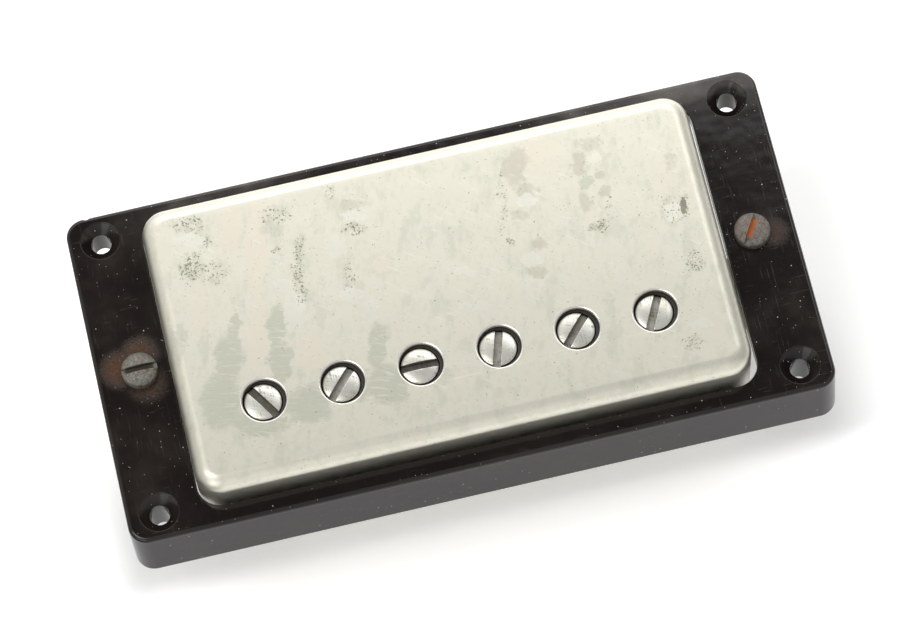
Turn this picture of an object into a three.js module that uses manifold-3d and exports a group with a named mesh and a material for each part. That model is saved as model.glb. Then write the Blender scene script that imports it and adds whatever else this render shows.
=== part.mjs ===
// A covered twin-coil guitar pickup hanging in its moulded mounting ring.
//
// X runs along the strings' spread, from the player's left to right in the photograph.
// Y runs along the strings, with the adjustable pole screws on the -Y side, the front.
// Z runs up out of the guitar, along the height screws.
// The origin is the middle of the ring's opening, on the plane of the ring's underside.
// All sizes are millimetres, and angles are degrees.

import * as THREE from 'three';
import { mergeVertices } from 'three/addons/utils/BufferGeometryUtils.js';
import Module from 'manifold-3d';

const wasm = await Module();
wasm.setup();

// Mounting ring, a hollow moulding, thick at the front and thin at the rear
const RING_END_LAND = 9.325;
const RING_SIDE_LAND = 3.3;
const RING_HEIGHT = 6.55;
const RING_TAPER_ANGLE = 2.89;
const RING_DRAFT = 0.8;
const RING_END_DRAFT = 0.4;
const RING_CORNER = 2.4;
const RING_EDGE_ROUND = 0.5;
const RING_PLATE = 2;
const RING_OUTER_WALL = 2;
const OPENING_CORNER = 3;
const OPENING_EDGE_ROUND = 0.2;

// Four fixing holes in the ring, countersunk for oval-head wood screws
const FIXING_INSET_X = 4.3;
const FIXING_INSET_Y = 4.25;
const FIXING_HOLE = 2.55;
const FIXING_SINK_RIM = 1.275;
const FIXING_SINK_DEPTH = 1.3;
const FIXING_BOSS_WALL = 0.45;

// Cover, drawn from thin nickel silver
const COVER_LENGTH = 69.85;
const COVER_WIDTH = 38.1;
const COVER_WALL = 0.5;
const COVER_CORNER = 3.2;
const COVER_ROUND = 2;
const COVER_RISE = 4.9;

// Clearances
const OPENING_GAP_X = 0.45;
const OPENING_GAP_Y = 0.4;
const COVER_TO_PLATE = 0.3;
const COVER_TO_BOBBIN = 0.25;
const BOBBIN_END_GAP = 1.175;
const BOBBIN_SIDE_GAP = 0.45;
const BOBBIN_MIDDLE_GAP = 0.4;
const POLE_HEAD_GAP = 0.375;
const WINDING_GAP = 0.15;
const SCREW_GAP = 0.15;
const SEAT_GAP = 0.05;

// How the pickup hangs in the opening, and how the cover sits over the coils
const HANG_X = -0.4;
const COVER_SHIFT_X = 0.2;

// Base plate, stamped and bent from one sheet
const PLATE_SHEET = 0.95;
const PLATE_CORNER = 2.4;
const PLATE_POLE_GAP = 0.41;
const LEG_WIDTH = 13;
const LEG_DROP = 9.5;
const LEG_BEND = 0.8;
const LEG_NOTCH = 1;
const FOOT_WALL = 2.3;
const LEAD_HOLE = 3.8;
const LEAD_HOLE_INSET_X = 3.1;
const LEAD_HOLE_INSET_Y = 3.9;

// Coils and their bobbins
const BOBBIN_HEIGHT = 10.9;
const BOBBIN_CORNER = 5;
const BOBBIN_EDGE_ROUND = 0.6;
const BOBBIN_TOP_FLANGE = 1.5;
const BOBBIN_BOTTOM_FLANGE = 1.2;
const CORE_INSET = 2.75;
const CORE_WALL = 0.75;
const COIL_INSET = 0.7;
const TAPE_THICKNESS = 0.3;

// Pole pieces, six to a coil
const POLE_COUNT = 6;
const POLE_END_MARGIN = 5.9;
const SLUG_DIAMETER = 4.76;
const SLUG_PROUD = 0.15;
const SLUG_DROP = 1.65;

// Pole screws, 5-40 with a fillister head
const POLE_THREAD = 3.18;
const POLE_LENGTH = 19.05;
const POLE_HEAD = 4.7;
const POLE_HEAD_HEIGHT = 1.8;
const POLE_DOME = 0.35;
const POLE_SLOT = 1;
const POLE_SLOT_DEPTH = 0.9;
const POLE_RECESS = 0.35;
const POLE_SPARE_DROP = 0.3;
const POLE_SLOT_ANGLES = [-57, 48, -1, 74, 48, 64];

// Magnet, keeper bar and wooden spacer under the coils
const MAGNET_THICKNESS = 3.2;
const MAGNET_END_INSET = 1.5;
const MAGNET_SIDE_GAP = 0.15;
const BAR_EDGE_ROUND = 0.4;
const KEEPER_END_MARGIN = 2.3;
const KEEPER_WALL = 1.16;
const KEEPER_TOP_GAP = 0.1;
const SPACER_END_INSET = 2.5;
const SPACER_SIDE_INSET = 1.4;

// Screws that hold the bobbins to the base plate
const BOBBIN_SCREW_THREAD = 2;
const BOBBIN_SCREW_BITE = 4.85;
const BOBBIN_SCREW_HEAD = 3.6;
const BOBBIN_SCREW_HEAD_HEIGHT = 1.1;
const BOBBIN_SCREW_DOME = 0.45;
const BOBBIN_SCREW_SLOT = 0.6;
const BOBBIN_SCREW_SLOT_DEPTH = 0.6;
const BOBBIN_SCREW_INSET = 1.6;
const BOBBIN_SLOT_ANGLES = [30, 75, 110, 160];

// Height screws, 3-48, and the springs round them
const HEIGHT_SCREW_OUT = 3.625;
const HEIGHT_THREAD = 2.5;
const HEIGHT_LENGTH = 28.6;
const HEIGHT_HEAD = 4.5;
const HEIGHT_HEAD_HEIGHT = 1.6;
const HEIGHT_DOME = 0.75;
const HEIGHT_SLOT = 0.8;
const HEIGHT_SLOT_DEPTH = 0.8;
const HEIGHT_SLOT_ANGLES = [1, 59];
const HEIGHT_HOLE_GAP = 0.3;
const HEIGHT_BOSS_RIM = 0.975;
const HEIGHT_BOSS_DROP = 2.4;
const SPRING_WIRE = 0.55;
const SPRING_GAP = 0.425;
const SPRING_CURLS = 10;

// Solder that joins the cover to the base plate
const SOLDER_LENGTH = 9;
const SOLDER_WIDTH = 2;
const SOLDER_THICKNESS = 0.9;

// Fineness of the facets
const CORNER_STEPS = 6;
const ROUND_STEPS = 4;
const EDGE_STEPS = 2;
const SCREW_SIDES = 24;
const HOLE_SIDES = 24;
const SMALL_SIDES = 16;
const SPRING_STEPS = 8;
const SPRING_SIDES = 5;
const QUARTER_TURN = 90;

// Every cut runs this far past the material it goes through
const OVERRUN = 1;
const MERGE_TOLERANCE = 1e-5;

// The ring round the cover, its holes and the height screws
const OPENING_LENGTH = COVER_LENGTH + 2 * OPENING_GAP_X;
const OPENING_WIDTH = COVER_WIDTH + 2 * OPENING_GAP_Y;
const RING_LENGTH = OPENING_LENGTH + 2 * RING_END_LAND;
const RING_WIDTH = OPENING_WIDTH + 2 * RING_SIDE_LAND;
const FIXING_X = RING_LENGTH / 2 - FIXING_INSET_X;
const FIXING_Y = RING_WIDTH / 2 - FIXING_INSET_Y;
const FIXING_SINK = FIXING_HOLE + 2 * FIXING_SINK_RIM;
const FIXING_BOSS = FIXING_SINK + 2 * FIXING_BOSS_WALL;
const HEIGHT_SCREW_X = OPENING_LENGTH / 2 + HEIGHT_SCREW_OUT;
const SPRING_DIAMETER = HEIGHT_THREAD + 2 * SPRING_GAP + SPRING_WIRE;
const HEIGHT_BOSS = SPRING_DIAMETER + SPRING_WIRE + 2 * HEIGHT_BOSS_RIM;

// The coils inside the cover, and the poles along them
const BOBBIN_LENGTH = COVER_LENGTH - 2 * (COVER_WALL + BOBBIN_END_GAP);
const BOBBIN_WIDTH = COVER_WIDTH / 2 - COVER_WALL - BOBBIN_SIDE_GAP - BOBBIN_MIDDLE_GAP / 2;
const COIL_SPACING = BOBBIN_WIDTH + BOBBIN_MIDDLE_GAP;
const SCREW_ROW_Y = -COIL_SPACING / 2;
const SLUG_ROW_Y = COIL_SPACING / 2;
const CORE_LENGTH = BOBBIN_LENGTH - 2 * CORE_INSET;
const CORE_WIDTH = SLUG_DIAMETER + 2 * (SCREW_GAP + CORE_WALL);
const POLE_PITCH = (CORE_LENGTH - 2 * POLE_END_MARGIN) / (POLE_COUNT - 1);
const POLE_HOLE = POLE_HEAD + 2 * POLE_HEAD_GAP;
const BOBBIN_SCREW_X = CORE_LENGTH / 2 - BOBBIN_SCREW_INSET;
const BOBBIN_SCREW_LENGTH = PLATE_SHEET + MAGNET_THICKNESS + BOBBIN_SCREW_BITE;
const FOOT_END = HEIGHT_THREAD + 2 * (SCREW_GAP + FOOT_WALL);

// Heights that several pieces share
const RING_TOP = RING_HEIGHT;
const TAPER_SLOPE = Math.tan(THREE.MathUtils.degToRad(RING_TAPER_ANGLE));
const RING_LOWEST = -TAPER_SLOPE * RING_WIDTH / 2;
const HEIGHT_BOSS_BOTTOM = RING_TOP - RING_PLATE - HEIGHT_BOSS_DROP;
const COVER_TOP = RING_TOP + COVER_RISE;
const BOBBIN_TOP = COVER_TOP - COVER_WALL - COVER_TO_BOBBIN;
const BOBBIN_BOTTOM = BOBBIN_TOP - BOBBIN_HEIGHT;
const PLATE_TOP = BOBBIN_BOTTOM - MAGNET_THICKNESS;
const PLATE_BOTTOM = PLATE_TOP - PLATE_SHEET;
const FOOT_BOTTOM = PLATE_BOTTOM - LEG_DROP;
const FOOT_TOP = FOOT_BOTTOM + PLATE_SHEET;
const PLATE_LENGTH = COVER_LENGTH - 2 * (COVER_WALL + COVER_TO_PLATE);
const PLATE_WIDTH = COVER_WIDTH - 2 * (COVER_WALL + COVER_TO_PLATE);
const POLE_HEAD_TOP = COVER_TOP - POLE_RECESS;
const POLE_HEAD_SEAT = POLE_HEAD_TOP - POLE_HEAD_HEIGHT;

// A finish for one piece
function finish(color, roughness, metalness) {
  return new THREE.MeshStandardMaterial({ color, roughness, metalness });
}

// Points of a rectangle with round corners, anticlockwise
function roundedOutline(length, width, corner, steps = CORNER_STEPS) {
  const radius = Math.min(corner, length / 2, width / 2);
  const points = [];
  const corners = [[1, 1], [-1, 1], [-1, -1], [1, -1]];
  corners.forEach(([sideX, sideY], turn) => {
    for (let step = 0; step <= steps; step += 1) {
      const angle = THREE.MathUtils.degToRad((turn + step / steps) * QUARTER_TURN);
      const x = sideX * (length / 2 - radius) + radius * Math.cos(angle);
      const y = sideY * (width / 2 - radius) + radius * Math.sin(angle);
      points.push(new THREE.Vector2(x, y));
    }
  });
  return points;
}

// A closed solid through level outlines that have as many points each
function loft(levels) {
  const count = levels[0].points.length;
  const positions = [];
  const index = [];
  levels.forEach(({ points, z }) => points.forEach((point) => positions.push(point.x, point.y, z)));
  for (let level = 0; level < levels.length - 1; level += 1) {
    for (let side = 0; side < count; side += 1) {
      const low = level * count + side;
      const lowNext = level * count + ((side + 1) % count);
      index.push(low, lowNext, lowNext + count, low, lowNext + count, low + count);
    }
  }
  const last = (levels.length - 1) * count;
  for (let side = 1; side < count - 1; side += 1) {
    index.push(0, side + 1, side, last, last + side, last + side + 1);
  }
  const geometry = new THREE.BufferGeometry();
  geometry.setAttribute('position', new THREE.Float32BufferAttribute(positions, 3));
  geometry.setIndex(index);
  return geometry;
}

// A block with round corners in plan whose top edge is rounded too
function shoulderedBlock(length, width, corner, bottom, top, round, steps) {
  const levels = [{ points: roundedOutline(length, width, corner), z: bottom }];
  for (let step = 0; step <= steps; step += 1) {
    const angle = THREE.MathUtils.degToRad((step / steps) * QUARTER_TURN);
    const inset = round * (1 - Math.cos(angle));
    const points = roundedOutline(length - 2 * inset, width - 2 * inset, Math.max(corner - inset, round / 2));
    levels.push({ points, z: top - round + round * Math.sin(angle) });
  }
  return loft(levels);
}

// An outline raised from one height to another
function prism(points, bottom, top, holes = []) {
  const shape = new THREE.Shape(points);
  holes.forEach((hole) => shape.holes.push(new THREE.Path(hole)));
  const geometry = new THREE.ExtrudeGeometry(shape, { depth: top - bottom, bevelEnabled: false });
  return geometry.translate(0, 0, bottom);
}

// Points of a circle
function circleOutline(x, y, radius, sides = SMALL_SIDES) {
  return Array.from({ length: sides }, (_, side) => {
    const angle = (2 * Math.PI * side) / sides;
    return new THREE.Vector2(x + radius * Math.cos(angle), y + radius * Math.sin(angle));
  });
}

// A turned solid about Z from a profile of radius and height, lowest point first
function turned(profile, sides = SCREW_SIDES) {
  const points = profile.map(([radius, z]) => new THREE.Vector2(radius, z));
  return new THREE.LatheGeometry(points, sides).rotateX(Math.PI / 2);
}

// A round bar or cutter that stands on a level
function rod(x, y, radius, bottom, top, sides = HOLE_SIDES) {
  return turned([[0, bottom], [radius, bottom], [radius, top], [0, top]], sides).translate(x, y, 0);
}

// Turns a closed geometry into a solid that can be joined and cut
function toSolid(geometry) {
  const bare = geometry.clone();
  bare.deleteAttribute('normal');
  bare.deleteAttribute('uv');
  const merged = mergeVertices(bare, MERGE_TOLERANCE);
  const places = merged.attributes.position;
  const corners = [new THREE.Vector3(), new THREE.Vector3(), new THREE.Vector3()];
  const triangles = [];
  let volume = 0;
  for (let face = 0; face < merged.index.count; face += 3) {
    const ids = [0, 1, 2].map((corner) => merged.index.getX(face + corner));
    if (new Set(ids).size === ids.length) {
      triangles.push(ids);
      ids.forEach((id, corner) => corners[corner].fromBufferAttribute(places, id));
      volume += corners[0].dot(corners[1].cross(corners[2]));
    }
  }
  const triVerts = new Uint32Array(triangles.flatMap((ids) => (volume < 0 ? ids.reverse() : ids)));
  const vertProperties = new Float32Array(places.array);
  return new wasm.Manifold(new wasm.Mesh({ numProp: 3, vertProperties, triVerts }));
}

// Turns a solid back into a geometry
function toGeometry(solid) {
  const { vertProperties, triVerts } = solid.getMesh();
  const geometry = new THREE.BufferGeometry();
  geometry.setAttribute('position', new THREE.Float32BufferAttribute(vertProperties, 3));
  geometry.setIndex(new THREE.BufferAttribute(triVerts, 1));
  geometry.computeVertexNormals();
  return geometry;
}

// Joins the first list of geometries and cuts the second list out of them
function carve(bodies, cuts) {
  const body = bodies.map(toSolid).reduce((joined, solid) => joined.add(solid));
  return toGeometry(cuts.map(toSolid).reduce((left, solid) => left.subtract(solid), body));
}

// Names a piece and hangs it in its group
function piece(parent, name, geometry, material) {
  const mesh = new THREE.Mesh(geometry, material);
  mesh.name = name;
  parent.add(mesh);
  return mesh;
}

// Places of the poles along a row
function polePlaces() {
  return Array.from({ length: POLE_COUNT }, (_, pole) => (pole - (POLE_COUNT - 1) / 2) * POLE_PITCH);
}

// A slotted screw whose head sits on z = 0 and whose shank points down
function slottedScrew(size) {
  const shoulder = size.headHeight - size.dome;
  const tipChamfer = size.thread / 8;
  const profile = [
    [0, -size.length],
    [size.thread / 2 - tipChamfer, -size.length],
    [size.thread / 2, -size.length + tipChamfer],
    [size.thread / 2, 0],
    [size.head / 2, 0],
    [size.head / 2, shoulder],
  ];
  for (let step = 1; step <= ROUND_STEPS; step += 1) {
    const angle = THREE.MathUtils.degToRad((step / ROUND_STEPS) * QUARTER_TURN);
    profile.push([(size.head / 2) * Math.cos(angle), shoulder + size.dome * Math.sin(angle)]);
  }
  profile[profile.length - 1][0] = 0;
  const slotPoints = roundedOutline(size.head + 2 * OVERRUN, size.slot, 0, 1);
  const slot = prism(slotPoints, size.headHeight - size.slotDepth, size.headHeight + OVERRUN);
  slot.rotateZ(THREE.MathUtils.degToRad(size.slotAngle));
  return carve([turned(profile, size.sides)], [slot]);
}

// The ring's outer form: drafted sides, a rounded top edge and a sloping underside
function ringBlank() {
  const depth = RING_LOWEST - OVERRUN;
  const levels = [];
  const level = (z, inset) => {
    const lengthLean = (RING_END_DRAFT / RING_HEIGHT) * z + inset;
    const widthLean = (RING_DRAFT / RING_HEIGHT) * z + inset;
    const corner = Math.max(RING_CORNER - inset, RING_EDGE_ROUND);
    const points = roundedOutline(RING_LENGTH - 2 * lengthLean, RING_WIDTH - 2 * widthLean, corner);
    levels.push({ points, z });
  };
  level(depth, 0);
  for (let step = 0; step <= EDGE_STEPS; step += 1) {
    const angle = THREE.MathUtils.degToRad((step / EDGE_STEPS) * QUARTER_TURN);
    const z = RING_TOP - RING_EDGE_ROUND * (1 - Math.sin(angle));
    level(z, RING_EDGE_ROUND * (1 - Math.cos(angle)));
  }
  return loft(levels);
}

// Everything below the guitar's top, which the ring's underside follows
function belowUnderside() {
  const reach = RING_WIDTH / 2 + OVERRUN;
  const depth = -RING_HEIGHT - OVERRUN;
  const points = [
    new THREE.Vector2(-reach, depth),
    new THREE.Vector2(reach, depth),
    new THREE.Vector2(reach, reach * TAPER_SLOPE),
    new THREE.Vector2(-reach, -reach * TAPER_SLOPE),
  ];
  const wedge = prism(points, -RING_LENGTH / 2 - OVERRUN, RING_LENGTH / 2 + OVERRUN);
  return wedge.rotateY(Math.PI / 2).rotateX(Math.PI / 2);
}

// The opening, with its upper edge eased
function ringOpening() {
  const plain = roundedOutline(OPENING_LENGTH, OPENING_WIDTH, OPENING_CORNER);
  const eased = (inset) => roundedOutline(
    OPENING_LENGTH + 2 * inset,
    OPENING_WIDTH + 2 * inset,
    OPENING_CORNER + inset,
  );
  return loft([
    { points: plain, z: RING_LOWEST - 2 * OVERRUN },
    { points: plain, z: RING_TOP - OPENING_EDGE_ROUND },
    { points: eased(OPENING_EDGE_ROUND), z: RING_TOP },
    { points: eased(OPENING_EDGE_ROUND), z: RING_TOP + OVERRUN },
  ]);
}

// The moulded hollow under one end of the ring, open to the opening, less the bosses that stand in it
function ringPocket(side) {
  const inner = OPENING_LENGTH / 2 - OPENING_CORNER - OVERRUN;
  const outer = RING_LENGTH / 2 - RING_END_DRAFT - RING_OUTER_WALL;
  const bottom = RING_LOWEST - OVERRUN;
  const centre = side * (inner + outer) / 2;
  const outline = roundedOutline(outer - inner, OPENING_WIDTH, RING_EDGE_ROUND, EDGE_STEPS);
  const hollow = toSolid(prism(outline, bottom, RING_TOP - RING_PLATE).translate(centre, 0, 0));
  const bosses = [rod(side * HEIGHT_SCREW_X, 0, HEIGHT_BOSS / 2, HEIGHT_BOSS_BOTTOM, RING_TOP)];
  for (const end of [-1, 1]) {
    bosses.push(rod(side * FIXING_X, end * FIXING_Y, FIXING_BOSS / 2, bottom - OVERRUN, RING_TOP));
  }
  return bosses.map(toSolid).reduce((left, boss) => left.subtract(boss), hollow);
}

// The whole mounting ring
function ringGeometry() {
  let ring = toSolid(ringBlank()).subtract(toSolid(belowUnderside())).subtract(toSolid(ringOpening()));
  for (const side of [-1, 1]) {
    ring = ring.subtract(ringPocket(side));
    const heightHole = HEIGHT_THREAD / 2 + HEIGHT_HOLE_GAP;
    const cutBottom = RING_LOWEST - OVERRUN;
    const cutTop = RING_TOP + OVERRUN;
    ring = ring.subtract(toSolid(rod(side * HEIGHT_SCREW_X, 0, heightHole, cutBottom, cutTop)));
    for (const end of [-1, 1]) {
      const hole = FIXING_HOLE / 2;
      const sink = FIXING_SINK / 2;
      const profile = [
        [0, cutBottom],
        [hole, cutBottom],
        [hole, RING_TOP - FIXING_SINK_DEPTH],
        [sink, RING_TOP],
        [sink, cutTop],
        [0, cutTop],
      ];
      ring = ring.subtract(toSolid(turned(profile).translate(side * FIXING_X, end * FIXING_Y, 0)));
    }
  }
  return toGeometry(ring);
}

// The drawn cover: one thin wall all over, open below, with a row of holes for the pole screws
function coverGeometry() {
  const outside = shoulderedBlock(
    COVER_LENGTH, COVER_WIDTH, COVER_CORNER, PLATE_BOTTOM, COVER_TOP, COVER_ROUND, ROUND_STEPS,
  );
  const inside = shoulderedBlock(
    COVER_LENGTH - 2 * COVER_WALL,
    COVER_WIDTH - 2 * COVER_WALL,
    COVER_CORNER - COVER_WALL,
    PLATE_BOTTOM - OVERRUN,
    COVER_TOP - COVER_WALL,
    COVER_ROUND - COVER_WALL,
    ROUND_STEPS,
  );
  const bottom = COVER_TOP - COVER_WALL - OVERRUN;
  const holes = polePlaces().map((x) => rod(x, SCREW_ROW_Y, POLE_HOLE / 2, bottom, COVER_TOP + OVERRUN));
  return carve([outside], [inside, ...holes]);
}

// One leg: the sheet bends down at the plate's end, then out again into a foot
function legGeometry(side, footX, footY) {
  const end = PLATE_LENGTH / 2;
  const inner = LEG_BEND;
  const outer = LEG_BEND + PLATE_SHEET;
  const upperX = end - outer;
  const lowerX = end + inner;
  const lowerZ = -LEG_DROP + outer;
  const root = upperX - LEG_WIDTH / 2;
  const tip = footX + FOOT_END / 2;
  const profile = new THREE.Shape();
  profile.moveTo(root, PLATE_SHEET);
  profile.lineTo(upperX, PLATE_SHEET);
  profile.absarc(upperX, -inner, outer, Math.PI / 2, 0, true);
  profile.lineTo(end, lowerZ);
  profile.absarc(lowerX, lowerZ, inner, Math.PI, 1.5 * Math.PI, false);
  profile.lineTo(tip, -LEG_DROP + PLATE_SHEET);
  profile.lineTo(tip, -LEG_DROP);
  profile.lineTo(lowerX, -LEG_DROP);
  profile.absarc(lowerX, lowerZ, outer, 1.5 * Math.PI, Math.PI, true);
  profile.lineTo(end - PLATE_SHEET, -inner);
  profile.absarc(upperX, -inner, inner, 0, Math.PI / 2, false);
  profile.lineTo(root, 0);
  const settings = { depth: LEG_WIDTH, bevelEnabled: false, curveSegments: ROUND_STEPS };
  const strip = new THREE.ExtrudeGeometry(profile, settings);
  strip.translate(0, 0, -LEG_WIDTH / 2).rotateX(Math.PI / 2).translate(0, 0, PLATE_BOTTOM);
  const plan = new THREE.Shape();
  plan.moveTo(root - OVERRUN, -LEG_WIDTH / 2);
  plan.lineTo(end + outer, -LEG_WIDTH / 2);
  plan.absarc(footX, footY, FOOT_END / 2, -Math.PI / 2, Math.PI / 2, false);
  plan.lineTo(end + outer, LEG_WIDTH / 2);
  plan.lineTo(root - OVERRUN, LEG_WIDTH / 2);
  const planSettings = { depth: LEG_DROP + 2 * OVERRUN, bevelEnabled: false, curveSegments: CORNER_STEPS };
  const planBlock = new THREE.ExtrudeGeometry(plan, planSettings).translate(0, 0, FOOT_BOTTOM - OVERRUN);
  const leg = toSolid(strip).intersect(toSolid(planBlock));
  const hole = rod(footX, footY, HEIGHT_THREAD / 2 + SCREW_GAP, FOOT_BOTTOM - OVERRUN, FOOT_TOP + OVERRUN);
  const made = toGeometry(leg.subtract(toSolid(hole)));
  return side > 0 ? made : made.scale(-1, 1, 1);
}

// The base plate with its two legs
function basePlateGeometry() {
  const below = PLATE_BOTTOM - OVERRUN;
  const above = PLATE_TOP + OVERRUN;
  const plate = prism(roundedOutline(PLATE_LENGTH, PLATE_WIDTH, PLATE_CORNER), PLATE_BOTTOM, PLATE_TOP);
  const notchDepth = LEG_BEND + PLATE_SHEET;
  const poleHole = POLE_THREAD / 2 + PLATE_POLE_GAP;
  const cuts = polePlaces().map((x) => rod(x, SCREW_ROW_Y, poleHole, below, above, SMALL_SIDES));
  for (const side of [-1, 1]) {
    const notch = roundedOutline(2 * notchDepth, LEG_WIDTH + 2 * LEG_NOTCH, 0, 1);
    cuts.push(prism(notch, below, above).translate(side * PLATE_LENGTH / 2, 0, 0));
    for (const row of [SCREW_ROW_Y, SLUG_ROW_Y]) {
      const radius = BOBBIN_SCREW_THREAD / 2 + SCREW_GAP;
      cuts.push(rod(side * BOBBIN_SCREW_X, row, radius, below, above, SMALL_SIDES));
    }
  }
  const leadX = -PLATE_LENGTH / 2 + LEAD_HOLE_INSET_X;
  const leadY = PLATE_WIDTH / 2 - LEAD_HOLE_INSET_Y;
  cuts.push(rod(leadX, leadY, LEAD_HOLE / 2, below, above));
  const right = legGeometry(1, HEIGHT_SCREW_X - HANG_X, 0);
  const left = legGeometry(-1, HEIGHT_SCREW_X + HANG_X, 0);
  const cutPlate = toSolid(carve([plate], cuts));
  return toGeometry(cutPlate.add(toSolid(right)).add(toSolid(left)));
}

// A bobbin: two flanges on a hollow core with six bores, and a pilot hole near each end
function bobbinGeometry(poleRadius, headRadius) {
  const flange = roundedOutline(BOBBIN_LENGTH, BOBBIN_WIDTH, BOBBIN_CORNER);
  const core = roundedOutline(CORE_LENGTH, CORE_WIDTH, CORE_WIDTH / 2);
  const bodies = [
    prism(flange, 0, BOBBIN_BOTTOM_FLANGE),
    prism(core, BOBBIN_BOTTOM_FLANGE / 2, BOBBIN_HEIGHT - BOBBIN_TOP_FLANGE / 2),
    shoulderedBlock(
      BOBBIN_LENGTH,
      BOBBIN_WIDTH,
      BOBBIN_CORNER,
      BOBBIN_HEIGHT - BOBBIN_TOP_FLANGE,
      BOBBIN_HEIGHT,
      BOBBIN_EDGE_ROUND,
      EDGE_STEPS,
    ),
  ];
  const above = BOBBIN_HEIGHT + OVERRUN;
  const cuts = polePlaces().map((x) => rod(x, 0, poleRadius, -OVERRUN, above, SMALL_SIDES));
  if (headRadius > 0) {
    const seat = POLE_HEAD_SEAT - POLE_SPARE_DROP - BOBBIN_BOTTOM;
    polePlaces().forEach((x) => cuts.push(rod(x, 0, headRadius, seat, above, SMALL_SIDES)));
  }
  const pilotDepth = BOBBIN_SCREW_LENGTH - MAGNET_THICKNESS - PLATE_SHEET + SCREW_GAP;
  const pilotRadius = BOBBIN_SCREW_THREAD / 2 + SCREW_GAP;
  for (const side of [-1, 1]) {
    cuts.push(rod(side * BOBBIN_SCREW_X, 0, pilotRadius, -OVERRUN, pilotDepth, SMALL_SIDES));
  }
  return carve(bodies, cuts).translate(0, 0, BOBBIN_BOTTOM);
}

// A band that goes round the core between the flanges, with its sides this far from the core
function bandGeometry(inside, outside) {
  const outer = roundedOutline(CORE_LENGTH + 2 * outside.x, CORE_WIDTH + 2 * outside.y, BOBBIN_WIDTH / 2);
  const inner = roundedOutline(CORE_LENGTH + 2 * inside.x, CORE_WIDTH + 2 * inside.y, BOBBIN_WIDTH / 2);
  const bottom = BOBBIN_BOTTOM + BOBBIN_BOTTOM_FLANGE + WINDING_GAP;
  const top = BOBBIN_TOP - BOBBIN_TOP_FLANGE - WINDING_GAP;
  return prism(outer, bottom, top, [inner.reverse()]);
}

// The winding and the tape round it, which fill the bobbin to just inside its flanges
function windingBuild() {
  const x = (BOBBIN_LENGTH - CORE_LENGTH) / 2 - COIL_INSET;
  const y = (BOBBIN_WIDTH - CORE_WIDTH) / 2 - COIL_INSET;
  const back = (distance) => ({ x: x - distance, y: y - distance });
  return {
    core: { x: WINDING_GAP, y: WINDING_GAP },
    wire: back(TAPE_THICKNESS + WINDING_GAP),
    tapeInside: back(TAPE_THICKNESS),
    tapeOutside: back(0),
  };
}

// A straight bar with eased corners, with bores at the poles if asked for
function barGeometry(length, width, bottom, top, boreRadius) {
  const bores = boreRadius > 0 ? polePlaces().map((x) => circleOutline(x, 0, boreRadius).reverse()) : [];
  return prism(roundedOutline(length, width, BAR_EDGE_ROUND, EDGE_STEPS), bottom, top, bores);
}

// The route of a spring's wire: straight ends, square to their seats, and even curls between
function springRoute(length) {
  const radius = SPRING_DIAMETER / 2;
  const rise = length - 2 * SPRING_WIRE;
  const steps = SPRING_CURLS * SPRING_STEPS;
  const route = [new THREE.Vector3(radius, 0, 0)];
  for (let step = 0; step <= steps; step += 1) {
    const angle = (2 * Math.PI * step) / SPRING_STEPS;
    const z = SPRING_WIRE + (rise * step) / steps;
    route.push(new THREE.Vector3(radius * Math.cos(angle), radius * Math.sin(angle), z));
  }
  const last = route[route.length - 1];
  route.push(new THREE.Vector3(last.x, last.y, length));
  return route;
}

// The least gap between a spring's curls, measured between points of its route
function springGap(route) {
  let least = Infinity;
  const farAlong = Math.floor(SPRING_STEPS / 2);
  route.forEach((from, place) => {
    route.slice(place + farAlong).forEach((to) => {
      least = Math.min(least, from.distanceTo(to) - SPRING_WIRE);
    });
  });
  return least;
}

// One unbroken tube along the wire's route
function springGeometry(length) {
  const route = springRoute(length);
  const positions = [];
  const index = [];
  const up = new THREE.Vector3(0, 0, 1);
  route.forEach((point, place) => {
    const before = route[Math.max(place - 1, 0)];
    const after = route[Math.min(place + 1, route.length - 1)];
    const along = after.clone().sub(before).normalize();
    const outward = new THREE.Vector3(point.x, point.y, 0).normalize();
    const isEnd = place === 0 || place === route.length - 1;
    const tangent = isEnd ? up.clone() : along;
    outward.addScaledVector(tangent, -outward.dot(tangent)).normalize();
    const sideways = tangent.clone().cross(outward);
    for (let side = 0; side < SPRING_SIDES; side += 1) {
      const angle = (2 * Math.PI * side) / SPRING_SIDES;
      const offset = outward.clone().multiplyScalar(Math.cos(angle) * SPRING_WIRE / 2);
      offset.addScaledVector(sideways, Math.sin(angle) * SPRING_WIRE / 2);
      positions.push(...point.clone().add(offset).toArray());
    }
  });
  const rings = route.length;
  for (let ring = 0; ring < rings - 1; ring += 1) {
    for (let side = 0; side < SPRING_SIDES; side += 1) {
      const low = ring * SPRING_SIDES + side;
      const lowNext = ring * SPRING_SIDES + ((side + 1) % SPRING_SIDES);
      index.push(low, lowNext, lowNext + SPRING_SIDES, low, lowNext + SPRING_SIDES, low + SPRING_SIDES);
    }
  }
  const last = (rings - 1) * SPRING_SIDES;
  for (let side = 1; side < SPRING_SIDES - 1; side += 1) {
    index.push(0, side + 1, side, last, last + side, last + side + 1);
  }
  const geometry = new THREE.BufferGeometry();
  geometry.setAttribute('position', new THREE.Float32BufferAttribute(positions, 3));
  geometry.setIndex(index);
  return toGeometry(toSolid(geometry));
}

// A low mound of solder with a flat back, hanging from the seam
function solderGeometry() {
  const profile = [[0, -SOLDER_THICKNESS]];
  for (let step = 1; step <= ROUND_STEPS; step += 1) {
    const angle = THREE.MathUtils.degToRad((step / ROUND_STEPS) * QUARTER_TURN);
    profile.push([(SOLDER_WIDTH / 2) * Math.sin(angle), -SOLDER_THICKNESS * Math.cos(angle)]);
  }
  profile[ROUND_STEPS][1] = 0;
  profile.push([0, 0]);
  return turned(profile, SMALL_SIDES).scale(SOLDER_LENGTH / SOLDER_WIDTH, 1, 1);
}

// The assembly

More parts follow.
